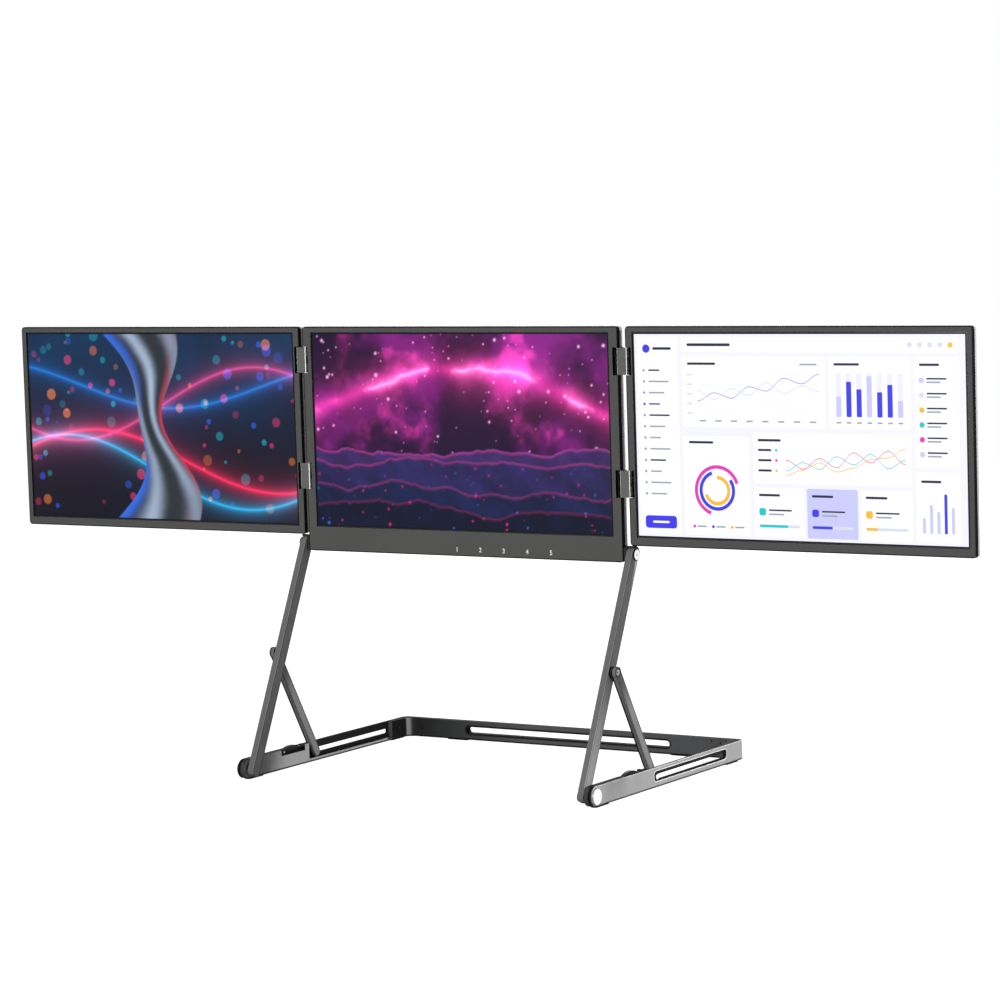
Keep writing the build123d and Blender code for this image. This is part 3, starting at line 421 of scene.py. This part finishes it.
def turned_steel(name, colour, roughness, centre, hole=0.0001, rim=1.0, rim_colour=0.01,
                 ring_pitch=0.0006):
    """Steel with lathe rings about an axis along X through the centre.

    The centre hole and, past the rim radius, the outer edge are painted darker with shade.
    """
    material, tree, shader = new_material(name)
    place = node(tree, "ShaderNodeTexCoord").outputs["Object"]
    centred = node(tree, "ShaderNodeMapping", place,
                   Location=(0.0, -centre.y, -centre.z)).outputs["Vector"]
    rings = node(tree, "ShaderNodeTexWave", centred, wave_type="RINGS", rings_direction="X",
                 Distortion=0.3, Scale=0.1 * pi / ring_pitch).outputs["Fac"]
    away = vectors(tree, "LENGTH", vectors(tree, "MULTIPLY", centred, (0.0, 1.0, 1.0)))
    steel = blend(tree, rings, [c * 0.86 for c in colour], colour)
    # Painted shade: the centre hole and the outer edge are darker.
    steel = blend(tree, ramp(tree, away, hole * 0.85, hole * 1.15), neutral(0.01), steel)
    steel = blend(tree, ramp(tree, away, rim * 0.97, rim * 1.03), steel, neutral(rim_colour))
    bump = node(tree, "ShaderNodeBump", Strength=0.25, Distance=0.00003, Height=rings)
    feed(shader, Base_Color=steel, Metallic=1.0, Normal=bump.outputs["Normal"],
         Roughness=ramp(tree, rings, 0.0, 1.0, roughness * 0.8, roughness * 1.25))
    return material


def middle(name):
    """The middle of a node's box."""
    low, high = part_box(name)
    return (Vector(low) + Vector(high)) / 2


paint(turned_steel("bright front cap", neutral(0.88), 0.22, middle("front_pins"), rim=0.0075,
                   rim_colour=0.28), "front_pins")
paint(turned_steel("bright top pin", neutral(0.90), 0.22, middle("top_pins"), hole=0.0009,
                   rim=0.0049), "top_pins")
strut_axis = middle("strut_pivot_right")
paint(turned_steel("strut screw steel", neutral(0.60), 0.28, strut_axis, hole=0.0013, rim=0.0027),
      "strut_pivot_right", "strut_pivot_left")
# Painted shade: the washers' round edges are black.
washer_steel = grained("washer steel", (0.42, 0.42, 0.41), 0.35, edge=shade_black)
paint(washer_steel, "strut_washer_right", "strut_washer_left")
# The front washers are painted black, the shade in the gap between leg and rail.
black_washer = grained("black washer", neutral(0.008), 0.5)
paint(black_washer, "front_washers")
paint(turned_steel("bright foot pin", (0.85, 0.84, 0.82), 0.25, middle("foot_pin_right")),
      "foot_pin_right", "foot_pin_left")


# ---------------------------------------------------------------------------------------------
# Legs and struts: flat aluminium bars with chamfered edges, anodised a little darker than the
# side rails. Their grain runs along the bar. The legs' broad sides are painted lighter than their
# fronts, as lit and shaded copies of one finish; the struts' chamfers carry a painted highlight,
# and chamfers that look backwards are painted shade.

leg_metal = grained("anodised leg", (0.23, 0.23, 0.233), 0.45, edge=(0.145, 0.145, 0.147),
                    chamfer=neutral(0.24), stretch=(1.0, 1.0, 0.15), shade_side=(0.0, 1.0, 0.0))
paint(leg_metal, "leg_right", "leg_left")
strut_metal = grained("anodised strut", (0.16, 0.16, 0.163), 0.45, edge=(0.15, 0.15, 0.152),
                      chamfer=neutral(0.50), stretch=(1.0, 1.0, 0.15), shade_side=(0.0, 1.0, 0.0))
paint(strut_metal, "strut_right", "strut_left")

# The broad sides of the bars carry painted shade: darker along both long edges. Each bar has half
# its width in millimetres, and the angle by which it rises in degrees.
broad_facing = 0.9
bar_edge_shade, given, place, normal = new_group(
    "bar edge painted shade",
    {"Color": any_colour, "Middle": nowhere, "Across": (0.0, 1.0, 0.0), "Inside": 0.005,
     "Outside": 0.006})
off_axis = vectors(bar_edge_shade, "DOT_PRODUCT",
                   vectors(bar_edge_shade, "SUBTRACT", place, given["Middle"]), given["Across"])
edge_shade_tone = ramp(bar_edge_shade, maths(bar_edge_shade, "ABSOLUTE", off_axis), given["Inside"],
                   given["Outside"], 1.0, 0.35)
sideways = maths(bar_edge_shade, "ABSOLUTE", split(bar_edge_shade, normal)[0])
broad_side = maths(bar_edge_shade, "GREATER_THAN", sideways, broad_facing)
shaded_margin = vectors(bar_edge_shade, "SCALE", given["Color"], Scale=edge_shade_tone)
node(bar_edge_shade, "NodeGroupOutput", Color=blend(bar_edge_shade, broad_side, given["Color"], shaded_margin))
for metal, axis, half_width, lean in ((leg_metal, middle("front_pins"), 6.5, 64.6),
                                      (strut_metal, strut_axis, 5.0, 120.0)):
    mark(metal, bar_edge_shade, Middle=axis, Across=(0.0, sin(radians(lean)), -cos(radians(lean))),
         Inside=(half_width - 1.9) * millimetre, Outside=(half_width - 0.9) * millimetre)

# The struts' narrow sides are painted black with shade along their left border.
border_middle = 0.5 * millimetre
border_half = 1.1 * millimetre
strut_tree = strut_metal.node_tree
strut_paint = strut_tree.nodes["Principled BSDF"].inputs["Base Color"]
bar_colour = strut_paint.links[0].from_socket
strut_spot = node(strut_tree, "ShaderNodeTexCoord").outputs
x = split(strut_tree, strut_spot["Object"])[0]
sideways = maths(strut_tree, "ABSOLUTE", split(strut_tree, strut_spot["Normal"])[0])
narrow_side = maths(strut_tree, "LESS_THAN", sideways, broad_facing)
borders = [maths(strut_tree, "COMPARE", x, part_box(name)[0][0] + border_middle, border_half)
           for name in ("strut_right", "strut_left")]
border_shade = maths(strut_tree, "MULTIPLY", maths(strut_tree, "ADD", *borders), narrow_side)
plug(strut_paint, blend(strut_tree, border_shade, bar_colour, shade_black))


# ---------------------------------------------------------------------------------------------
# Release levers: black moulded thumb pads, each on a steel cross pin. The hinges' pins are of
# the same steel.

lever_plastic = grained("black lever plastic", (0.014, 0.014, 0.015), 0.5, scale=1400.0)
paint(lever_plastic, "release_lever_right", "release_lever_left")
plain_steel = grained("plain pin steel", (0.55, 0.55, 0.54), 0.30, 1.0, stretch=(1.0, 1.0, 0.1),
                      specular=0.5)
paint(plain_steel, "lever_pins", "centre_hinge_pins", "right_hinge_pins", "left_hinge_pins")


# ---------------------------------------------------------------------------------------------
# Panels: a dark grey moulded front frame with painted shade on its outer edge and sides, a
# blasted aluminium rear shell, the hinge parts with painted light on their sides, and what the
# panels hold.

# Painted shade: the front frame's face darkens towards its outer edge.
outline_shade, given, place, _ = new_group(
    "frame outline shade", {"Color": any_colour, "Middle": nowhere, "Half": (1.0, 1.0, 1.0)})
past_x, _, past_z = split(
    outline_shade, past_box(outline_shade, place, given["Middle"], given["Half"]))
outline_shade_tone = ramp(outline_shade, maths(outline_shade, "MAXIMUM", past_x, past_z),
                    -1.5 * millimetre, -0.7 * millimetre, 1.0, 0.12)
node(outline_shade, "NodeGroupOutput",
     Color=vectors(outline_shade, "SCALE", given["Color"], Scale=outline_shade_tone))
# Painted shade: each front frame's sides are black and its chamfers nearly black.
for side in ("centre", "right", "left"):
    bezel_plastic = grained(f"{side} bezel plastic", (0.087, 0.087, 0.085), 0.55, scale=3200.0,
                            tone=0.06, edge=shade_black, chamfer=neutral(0.03),
                            face=(0.0, 1.0, 0.0))
    paint(bezel_plastic, f"{side}_front_frame")
    low, high = (Vector(corner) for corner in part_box(f"{side}_front_frame"))
    mark(bezel_plastic, outline_shade, Middle=(low + high) / 2, Half=(high - low) / 2)
shell_metal = grained("blasted shell", (0.24, 0.24, 0.245), 0.45, 0.3, scale=2200.0)
paint(shell_metal, "centre_rear_shell", "right_rear_shell", "left_rear_shell")
# Painted light: the hinge blocks' sides, tops and bottoms are much lighter than their fronts, as
# lit copies of one finish; their bright chamfers are bare metal.
block_metal = grained("hinge block", (0.13, 0.13, 0.127), 0.40, edge=(0.55, 0.55, 0.54),
                      chamfer=(0.93, 0.93, 0.91), face=(0.0, 1.0, 0.0), cut_chamfer=True)
paint(block_metal, "right_hinge_blocks", "left_hinge_blocks")
# Painted light: the hinge ears' sides are lighter than their black faces, matching the blocks' lit
# sides.
ear_metal = grained("hinge ear", neutral(0.008), 0.4, edge=neutral(0.40), chamfer=neutral(0.20),
                    face=(0.0, 1.0, 0.0))
paint(ear_metal, "centre_hinge_ears", "right_hinge_ears", "left_hinge_ears")
bracket_black = grained("tilt bracket", (0.012, 0.012, 0.013), 0.45, edge=(0.03, 0.03, 0.031))
paint(bracket_black, "tilt_brackets")
socket_metal = grained("socket nickel", (0.60, 0.60, 0.58), 0.30, 1.0, scale=1800.0, specular=0.5)
paint(socket_metal, "port_sockets")
board_green = grained("driver board", (0.01, 0.09, 0.03), 0.5, scale=400.0, tone=0.4)
paint(board_green, "centre_driver_board", "right_driver_board", "left_driver_board")
frosted = grained("backlight", neutral(0.6), 0.7, scale=600.0)
paint(frosted, "centre_backlight", "right_backlight", "left_backlight")
glass = grained("display glass", (0.004, 0.004, 0.005), 0.16, scale=300.0, tone=0.3,
                depth=0.000002, specular=0.35)
paint(glass, "centre_lcd_panel", "right_lcd_panel", "left_lcd_panel")


# ---------------------------------------------------------------------------------------------
# Lit screens: a picture in the glass of each display, as wide and high as its active area. The
# left and centre ones are fields of colour on a grid, and the right one is a page of flat
# shapes. Each rides on its panel, a hair in front of the glass.

screen_width = 344.16 * millimetre
screen_height = 193.59 * millimetre
glass_border = 1.2 * millimetre
glass_border_low = 5.0 * millimetre
black_border = 1.3 * millimetre
picture_gap = 0.1 * millimetre


def lit_glass(name):
    """Dark glass that gives off the colour in the mesh's "picture" attribute."""
    material, tree, shader = new_material(name)
    picture = node(tree, "ShaderNodeAttribute", attribute_name="picture")
    place = node(tree, "ShaderNodeTexCoord").outputs["Object"]
    smear = node(tree, "ShaderNodeTexNoise", place, Scale=14.0, Detail=2.0).outputs["Fac"]
    feed(shader, Base_Color=neutral(0.0), Roughness=ramp(tree, smear, 0.0, 1.0, 0.24, 0.38),
         Specular_IOR_Level=0.12, Emission_Color=picture.outputs["Color"], Emission_Strength=1.0)
    return material


def linear(colour):
    """Display values from 0 to 1 as light: a power of 2.2."""
    return np.asarray(colour, dtype=float) ** 2.2


def screen_origin(name):
    """The lower left corner of a display's active area, just in front of its glass."""
    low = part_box(name)[0]
    return np.array([low[0] + glass_border, low[1] - picture_gap, low[2] + glass_border_low])


def finish_screen(name, mesh, colours, body, material):
    """Puts the colour of each point on the mesh and lets the piece ride on its panel."""
    layer = mesh.color_attributes.new("picture", "FLOAT_COLOR", "POINT")
    rgba = np.ones((len(mesh.vertices), 4))
    rgba[:, :3] = colours.reshape(-1, 3)
    layer.data.foreach_set("color", rgba.ravel())
    piece = bpy.data.objects.new(name, mesh)
    bpy.context.collection.objects.link(piece)
    mesh.materials.append(material)
    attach(piece, body)


columns, rows = 400, 226
picture_span = 1.78


def picture_grid():
    """The grid's u and v: v is 0 to 1 upwards, and u is from the left in the same unit."""
    u = np.linspace(0.0, screen_width / screen_height, columns)
    v = np.linspace(0.0, 1.0, rows)
    return np.meshgrid(u, v)


def bordered(picture, u, v):
    """The picture with the black edge of the glass round it."""
    width = black_border / screen_height
    from_edge = np.minimum(np.minimum(u, u.max() - u), np.minimum(v, 1 - v))
    return np.clip(picture, 0, 1) * (from_edge >= width)[..., None]


def picture_mesh(name, origin):
    """A flat grid over the active area: x grows with the column and z with the row."""
    x, z = np.meshgrid(np.linspace(0, screen_width, columns), np.linspace(0, screen_height, rows))
    points = np.stack([origin[0] + x, np.full_like(x, origin[1]), origin[2] + z], axis=-1)
    number = np.arange(rows * columns).reshape(rows, columns)
    quads = np.stack([number[:-1, :-1], number[:-1, 1:], number[1:, 1:], number[1:, :-1]], axis=-1)
    mesh = bpy.data.meshes.new(name)
    mesh.from_pydata(points.reshape(-1, 3), [], quads.reshape(-1, 4))
    return mesh


def cloud(u, v, cell, seed, octaves=5):
    """Sum of octaves of value noise: random lattice values blended by 3t^2 - 2t^3."""
    chance = np.random.default_rng(seed)
    lattice_rows, lattice_columns = 96, 160
    total = np.zeros_like(u)
    weight_sum = 0.0
    for octave in range(octaves):
        lattice = chance.random((lattice_rows, lattice_columns))
        size = cell / 2 ** octave
        a = (u + 3.7) / size % (lattice_columns - 2)
        b = (v + 1.9) / size % (lattice_rows - 2)
        i, j = a.astype(int), b.astype(int)
        s, t = a - i, b - j
        s, t = s * s * (3 - 2 * s), t * t * (3 - 2 * t)
        low = lattice[j, i] * (1 - s) + lattice[j, i + 1] * s
        high = lattice[j + 1, i] * (1 - s) + lattice[j + 1, i + 1] * s
        total += (low * (1 - t) + high * t) / 2 ** octave
        weight_sum += 1 / 2 ** octave
    return total / weight_sum


def step(low, high, value):
    """A soft step from 0 at low to 1 at high."""
    t = np.clip((value - low) / (high - low), 0, 1)
    return t * t * (3 - 2 * t)


def glow_line(v, height, width):
    """A line of light across the picture: w^2 / (w^2 + distance^2)."""
    return width ** 2 / (width ** 2 + (v - height) ** 2)


def star_points(u, v, count, seed, low=0.0):
    """Round points of light: each falls off as exp(-(d / r)^2) from its own place."""
    chance = np.random.default_rng(seed)
    light = np.zeros_like(u)
    for x, y, power in zip(chance.random(count) * picture_span,
                           low + chance.random(count) * (1 - low), chance.random(count)):
        radius = 0.003 + 0.005 * power ** 3
        light += (0.35 + power) * np.exp(-((u - x) ** 2 + (v - y) ** 2) / radius ** 2)
    return light


def add(picture, light, colour):
    """Adds a layer of coloured light to a picture."""
    return picture + light[..., None] * linear(colour)


# Left screen: a pale twisted ribbon of silk between blurred lamps and streaks of neon light.
u, v = picture_grid()
night = np.zeros((*u.shape, 3)) + linear((0.03, 0.06, 0.13))
night = add(night, 0.25 * step(0.2, 1.0, v) * cloud(u, v, 0.5, 3), (0.10, 0.45, 0.70))
chance = np.random.default_rng(11)
lamp_colours = [(0.05, 0.75, 0.85), (1.0, 0.55, 0.15), (0.2, 0.4, 1.0), (1.0, 0.25, 0.5)]
for number in range(110):
    x, y = chance.random() * picture_span, chance.random() ** 0.7
    radius = 0.008 + 0.026 * chance.random()
    away = np.hypot(u - x, v - y)
    disc = step(radius, radius * 0.8, away) * (0.10 + 0.35 * chance.random())
    night = add(night, disc, lamp_colours[number % 4])
for height, bend, shift, colour, power in (
        (0.32, 0.16, 0.4, (1.0, 0.15, 0.35), 0.9), (0.26, 0.19, 0.9, (0.1, 0.75, 1.0), 0.7),
        (0.72, 0.12, 2.2, (0.1, 0.55, 1.0), 0.5), (0.62, 0.20, 3.9, (1.0, 0.3, 0.6), 0.55)):
    curve = height + bend * np.sin(2.6 * u + shift)
    night = add(night, power * glow_line(v, curve, 0.006), colour)
    night = add(night, 0.35 * power * glow_line(v, curve, 0.03), colour)
spine = 0.80 + 0.10 * np.sin(3.1 * v + 0.6) + 0.05 * np.sin(9.0 * v)
width = 0.20 + 0.12 * np.cos(4.4 * v + 0.8)
across = (u - spine) / width
inside = step(1.0, 0.94, np.abs(across))
fold = 0.5 + 0.5 * np.cos(5.5 * across + 7.0 * v + 2.2 * cloud(u, v, 0.35, 8))
silk = 0.05 + 0.75 * fold ** 2.2 * (1 - 0.55 * np.abs(across))
silk_colour = silk[..., None] * linear((0.72, 0.80, 0.92))
silk_colour = add(silk_colour, 0.55 * step(0.5, 1.0, across) * (1 - fold), (1.0, 0.2, 0.35))
silk_colour = add(silk_colour, 0.75 * step(-0.45, -1.0, across) * (1 - fold), (0.15, 0.45, 1.0))
night = night * (1 - inside[..., None]) + silk_colour * inside[..., None]
left_origin = screen_origin("left_lcd_panel")
finish_screen("left_picture", picture_mesh("left_picture", left_origin),
              bordered(night, u, v), "left_panel", lit_glass("left lit glass"))

# Centre screen: a band of magenta light in a clouded sky over dark hills, with scattered stars.
sky_noise = cloud(u, v, 0.42, 21, 6)
fine_noise = cloud(u, v, 0.16, 22, 5)
band = 0.66 + 0.16 * np.sin(2.3 * u - 0.5) + 0.16 * (sky_noise - 0.5)
dusk = np.zeros((*u.shape, 3)) + linear((0.10, 0.05, 0.20))
dusk = add(dusk, 1.1 * step(0.42, 0.75, sky_noise), (0.50, 0.12, 0.48))
dusk = add(dusk, 0.8 * step(0.50, 0.75, fine_noise) * step(0.4, 0.7, sky_noise),
           (0.95, 0.25, 0.65))
dusk = add(dusk, 0.95 * glow_line(v, band, 0.035) * (0.35 + 1.2 * fine_noise), (1.0, 0.25, 0.68))
dusk = add(dusk, 0.60 * glow_line(v, band, 0.010) * step(0.35, 0.65, fine_noise),
           (1.0, 0.80, 0.95))
dusk = add(dusk, star_points(u, v, 130, 31, 0.35), (1.0, 0.70, 0.90))
hills = ((0.42, (0.24, 0.16, 0.38)), (0.33, (0.17, 0.15, 0.34)), (0.22, (0.10, 0.13, 0.28)),
         (0.11, (0.05, 0.08, 0.18)))
for number, (height, colour) in enumerate(hills):
    ridge = height + 0.16 * (cloud(u, 0.1 * v + number, 0.30, 40 + number, 6) - 0.5)
    ground = step(ridge + 0.004, ridge - 0.004, v)[..., None]
    slope = 0.45 + 1.2 * cloud(u + 0.5 * v, v, 0.10, 50 + number, 4)
    dusk = dusk * (1 - ground) + ground * slope[..., None] * linear(colour)
    lit = step(0.02, 0.0, ridge - v) * ground[..., 0]
    dusk = add(dusk, 0.35 * lit * (1 - 0.2 * number), (0.9, 0.25, 0.6))
dusk = add(dusk, 0.8 * step(0.45, 0.0, v) * star_points(u, v, 150, 33), (1.0, 0.15, 0.55))
dusk = add(dusk, 0.8 * step(0.45, 0.0, v) * star_points(u, v, 90, 34), (0.15, 0.50, 1.0))
centre_origin = screen_origin("centre_lcd_panel")
finish_screen("centre_picture", picture_mesh("centre_picture", centre_origin),
              bordered(dusk, u, v), "centre_panel", lit_glass("centre lit glass"))

# Right screen: a plain page of charts, with grey bars where words would be. Places on the page
# are millimetres from its lower left corner, and each shape lies a hair in front of the last.
page_points, page_faces, page_colours = [], [], []
page_origin = screen_origin("right_lcd_panel")
layer_step = 0.004 * millimetre
arc_steps = 6
white = (1.0, 1.0, 1.0)
page_tint = (0.962, 0.962, 0.995)
ink = (0.16, 0.18, 0.28)
grey = (0.62, 0.65, 0.72)
pale = (0.86, 0.88, 0.95)
blue = (0.26, 0.25, 0.92)
pale_blue = (0.80, 0.80, 0.99)
pink = (0.90, 0.25, 0.72)
amber = (0.97, 0.75, 0.22)
teal = (0.15, 0.78, 0.80)


def lay(outline, colour, layer):
    """Lays one flat shape on the page: its outline runs anticlockwise seen from the front."""
    first = len(page_points)
    for x, z in outline:
        page_points.append((page_origin[0] + x * millimetre, page_origin[1] - layer * layer_step,
                            page_origin[2] + z * millimetre))
    page_faces.append(range(first, len(page_points)))
    page_colours.extend([linear(colour)] * (len(page_points) - first))


def card(x, z, width, height, colour, layer, radius=1.6):
    """A rectangle with round corners: quarter circles about the four inset corners."""
    quarter = np.linspace(0, pi / 2, arc_steps)
    radius = min(radius, width / 2, height / 2)
    outline = []
    for turn_by, centre in ((0, (x + width - radius, z + height - radius)),
                            (pi / 2, (x + radius, z + height - radius)),
                            (pi, (x + radius, z + radius)),
                            (3 * pi / 2, (x + width - radius, z + radius))):
        angle = quarter + turn_by
        outline += list(zip(centre[0] + radius * np.cos(angle),
                            centre[1] + radius * np.sin(angle)))
    lay(outline, colour, layer)


def word(x, z, width, colour=grey, height=1.5):
    """A bar in the place of a word."""
    card(x, z, width, height, colour, 3, height / 2)


def dot(x, z, radius, colour, layer=3):
    """A round spot."""
    card(x - radius, z - radius, 2 * radius, 2 * radius, colour, layer, radius)


def curve_line(x, z, width, colour, heights, layer=4, thick=0.55):
    """A smooth line through evenly spaced heights: each stretch eased by 3t^2 - 2t^3."""
    heights = np.asarray(heights, dtype=float)
    along = np.linspace(0, len(heights) - 1.001, 60)
    i = along.astype(int)
    t = along - i
    t = t * t * (3 - 2 * t)
    level = z + heights[i] * (1 - t) + heights[i + 1] * t
    place = x + along / (len(heights) - 1) * width
    for k in range(len(place) - 1):
        lay([(place[k], level[k] - thick / 2), (place[k + 1], level[k + 1] - thick / 2),
             (place[k + 1], level[k + 1] + thick / 2), (place[k], level[k] + thick / 2)],
            colour, layer)


def ring(x, z, radius, thick, start, end, colour, layer=4):
    """Part of a ring between two angles in turns: inner and outer arcs joined by quads."""
    angle = 2 * pi * np.linspace(start, end, 25)
    outer = np.stack([x + radius * np.cos(angle), z + radius * np.sin(angle)], axis=-1)
    inner = np.stack([x + (radius - thick) * np.cos(angle), z + (radius - thick) * np.sin(angle)],
                     axis=-1)
    for k in range(len(angle) - 1):
        lay([inner[k], outer[k], outer[k + 1], inner[k + 1]], colour, layer)


page_width, page_height = screen_width / millimetre, screen_height / millimetre
lay([(0, 0), (page_width, 0), (page_width, page_height), (0, page_height)], (0, 0, 0), 0)
page_edge = black_border / millimetre
card(page_edge, page_edge, page_width - 2 * page_edge, page_height - 2 * page_edge, page_tint,
     0.5, 0.01)
card(4, 4, 44, page_height - 8, white, 1)
dot(14, page_height - 15, 4.0, blue)
word(21, page_height - 16, 20, ink, 2.4)
for line in range(12):
    z = page_height - 36 - 10.6 * line
    dot(11, z + 0.7, 1.3, blue if line == 3 else grey)
    word(16, z, 12 + 5 * (line * 5 % 3), blue if line == 3 else ink if line % 4 == 0 else grey)
card(9, 9, 34, 12, blue, 2, 3.0)
word(17, 14, 18, white, 2.0)
card(52, page_height - 18, 284, 14, white, 1)
word(58, page_height - 12.5, 46, ink, 2.6)
for spot in range(5):
    dot(288 + 10 * spot, page_height - 11, 2.4, pale if spot < 4 else amber)

chart_z = page_height - 88
card(52, chart_z, 150, 66, white, 1)
word(58, chart_z + 58, 30, ink, 2.2)
word(176, chart_z + 58, 18)
for line in range(5):
    word(57, chart_z + 12 + 9 * line, 6, pale)
    lay([(68, chart_z + 12.6 + 9 * line), (196, chart_z + 12.6 + 9 * line),
         (196, chart_z + 12.8 + 9 * line), (68, chart_z + 12.8 + 9 * line)], pale, 2)
curve_line(68, chart_z + 12, 128, blue, (12, 20, 15, 26, 22, 34, 29, 38))
curve_line(68, chart_z + 12, 128, pale_blue, (22, 14, 24, 18, 30, 20, 27, 22))
for month in range(8):
    word(70 + 16.5 * month, chart_z + 5, 7, grey)

card(206, chart_z, 82, 66, white, 1)
word(211, chart_z + 58, 26, ink, 2.2)
for bar, height in enumerate((22, 38, 30, 44, 27, 35, 18)):
    x = 213 + 10.4 * bar
    card(x, chart_z + 11, 5.2, 40, (0.94, 0.94, 0.99), 2, 1.0)
    card(x, chart_z + 11, 5.2, height * 0.85, blue if bar % 3 else pale_blue, 3, 1.0)
    word(x, chart_z + 5, 5)

list_z = page_height - 122
card(292, list_z, 44, 100, white, 1)
word(297, page_height - 30, 20, ink, 2.2)
for line in range(6):
    z = page_height - 44 - 13.4 * line
    dot(299, z + 1, 2.6, (pale_blue, pale, amber, teal, pink, pale_blue)[line])
    word(304, z + 1.8, 20, ink)
    word(304, z - 1.4, 14)

card(52, 4, 70, 93, white, 1)
word(58, 90, 26, ink, 2.2)
ring(87, 46, 24, 3.4, 0.05, 0.70, pink)
ring(87, 46, 19, 3.4, 0.30, 1.10, blue)
ring(87, 46, 14, 3.4, 0.55, 1.25, amber)
for key, colour in enumerate((pink, blue, amber)):
    dot(62 + 20 * key, 12, 1.5, colour)
    word(65 + 20 * key, 11.3, 10)

card(126, 54, 162, 47, white, 1)
word(131, 93, 24, ink, 2.2)
for key, colour in enumerate((teal, pink, amber)):
    word(131, 84 - 9.5 * key, 14, ink, 2.0)
    dot(150, 85 - 9.5 * key, 1.3, colour)
curve_line(160, 58, 122, teal, (8, 16, 10, 22, 15, 25, 12, 20), thick=0.7)
curve_line(160, 58, 122, pink, (18, 10, 20, 12, 26, 17, 28, 16), thick=0.7)
curve_line(160, 58, 122, amber, (4, 9, 16, 8, 12, 20, 22, 30), thick=0.7)

for tile in range(3):
    x = 126 + 55 * tile
    card(x, 4, 52, 46, white if tile != 1 else pale_blue, 1)
    word(x + 5, 42, 22, ink, 2.2)
    card(x + 5, 24, 7, 7, (teal, blue, amber)[tile], 3, 2.0)
    word(x + 15, 28.4, 24, ink)
    word(x + 15, 24.6, 16)
    card(x + 5, 13, 42, 2.6, pale, 3, 1.3)
    card(x + 5, 13, 30 - 9 * tile, 2.6, (teal, blue, amber)[tile], 4, 1.3)

card(292, 4, 44, list_z - 8, white, 1)
for bar, height in enumerate((14, 26, 20, 36, 24)):
    card(298 + 7.2 * bar, 12, 3.0, height, blue if bar == 3 else pale_blue, 3, 1.0)
word(297, 58, 20, ink, 2.2)

page_mesh = bpy.data.meshes.new("right_picture")
page_mesh.from_pydata(page_points, [], page_faces)
finish_screen("right_picture", page_mesh, np.array(page_colours), "right_panel",
              lit_glass("right lit glass"))


# ---------------------------------------------------------------------------------------------
# Numerals under the centre screen: white ink, printed on the face of the front frame. There is
# one for each of the five connectors below, in a row that starts near the middle.

ink_material, ink_tree, ink_shader = new_material("printed ink")
ink_speckle = node(ink_tree, "ShaderNodeTexNoise", Scale=2600.0, Detail=2.0).outputs["Fac"]
feed(ink_shader, Roughness=0.6,
     Base_Color=blend(ink_tree, ink_speckle, (0.62, 0.62, 0.61), (0.80, 0.80, 0.79)))

numeral_height = 4.4 * millimetre
numeral_drop = 18.3 * millimetre
cap_share = 0.7
ink_lift = 0.02 * millimetre
frame_front_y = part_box("centre_front_frame")[0][1]
first_port_x = centre_origin[0] + screen_width / 2 - 5.7 * millimetre
port_pitch = 27.0 * millimetre
for number in range(5):
    curve = bpy.data.curves.new(f"numeral_{number + 1}", "FONT")
    curve.body = str(number + 1)
    curve.size = numeral_height / cap_share
    curve.align_x = "CENTER"
    curve.offset = 0.14 * millimetre
    source = bpy.data.objects.new("numeral source", curve)
    bpy.context.collection.objects.link(source)
    bpy.context.view_layer.update()
    shaped = source.evaluated_get(bpy.context.evaluated_depsgraph_get())
    mesh = bpy.data.meshes.new_from_object(shaped)
    bpy.data.objects.remove(source)
    upright = Matrix.Rotation(pi / 2, 4, "X")
    place = Matrix.Translation((first_port_x + number * port_pitch,
                                frame_front_y - ink_lift,
                                centre_origin[2] - numeral_drop - numeral_height / 2))
    mesh.transform(place @ upright)
    numeral = bpy.data.objects.new(f"numeral_{number + 1}", mesh)
    bpy.context.collection.objects.link(numeral)
    mesh.materials.clear()
    mesh.materials.append(ink_material)
    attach(numeral, "centre_panel")
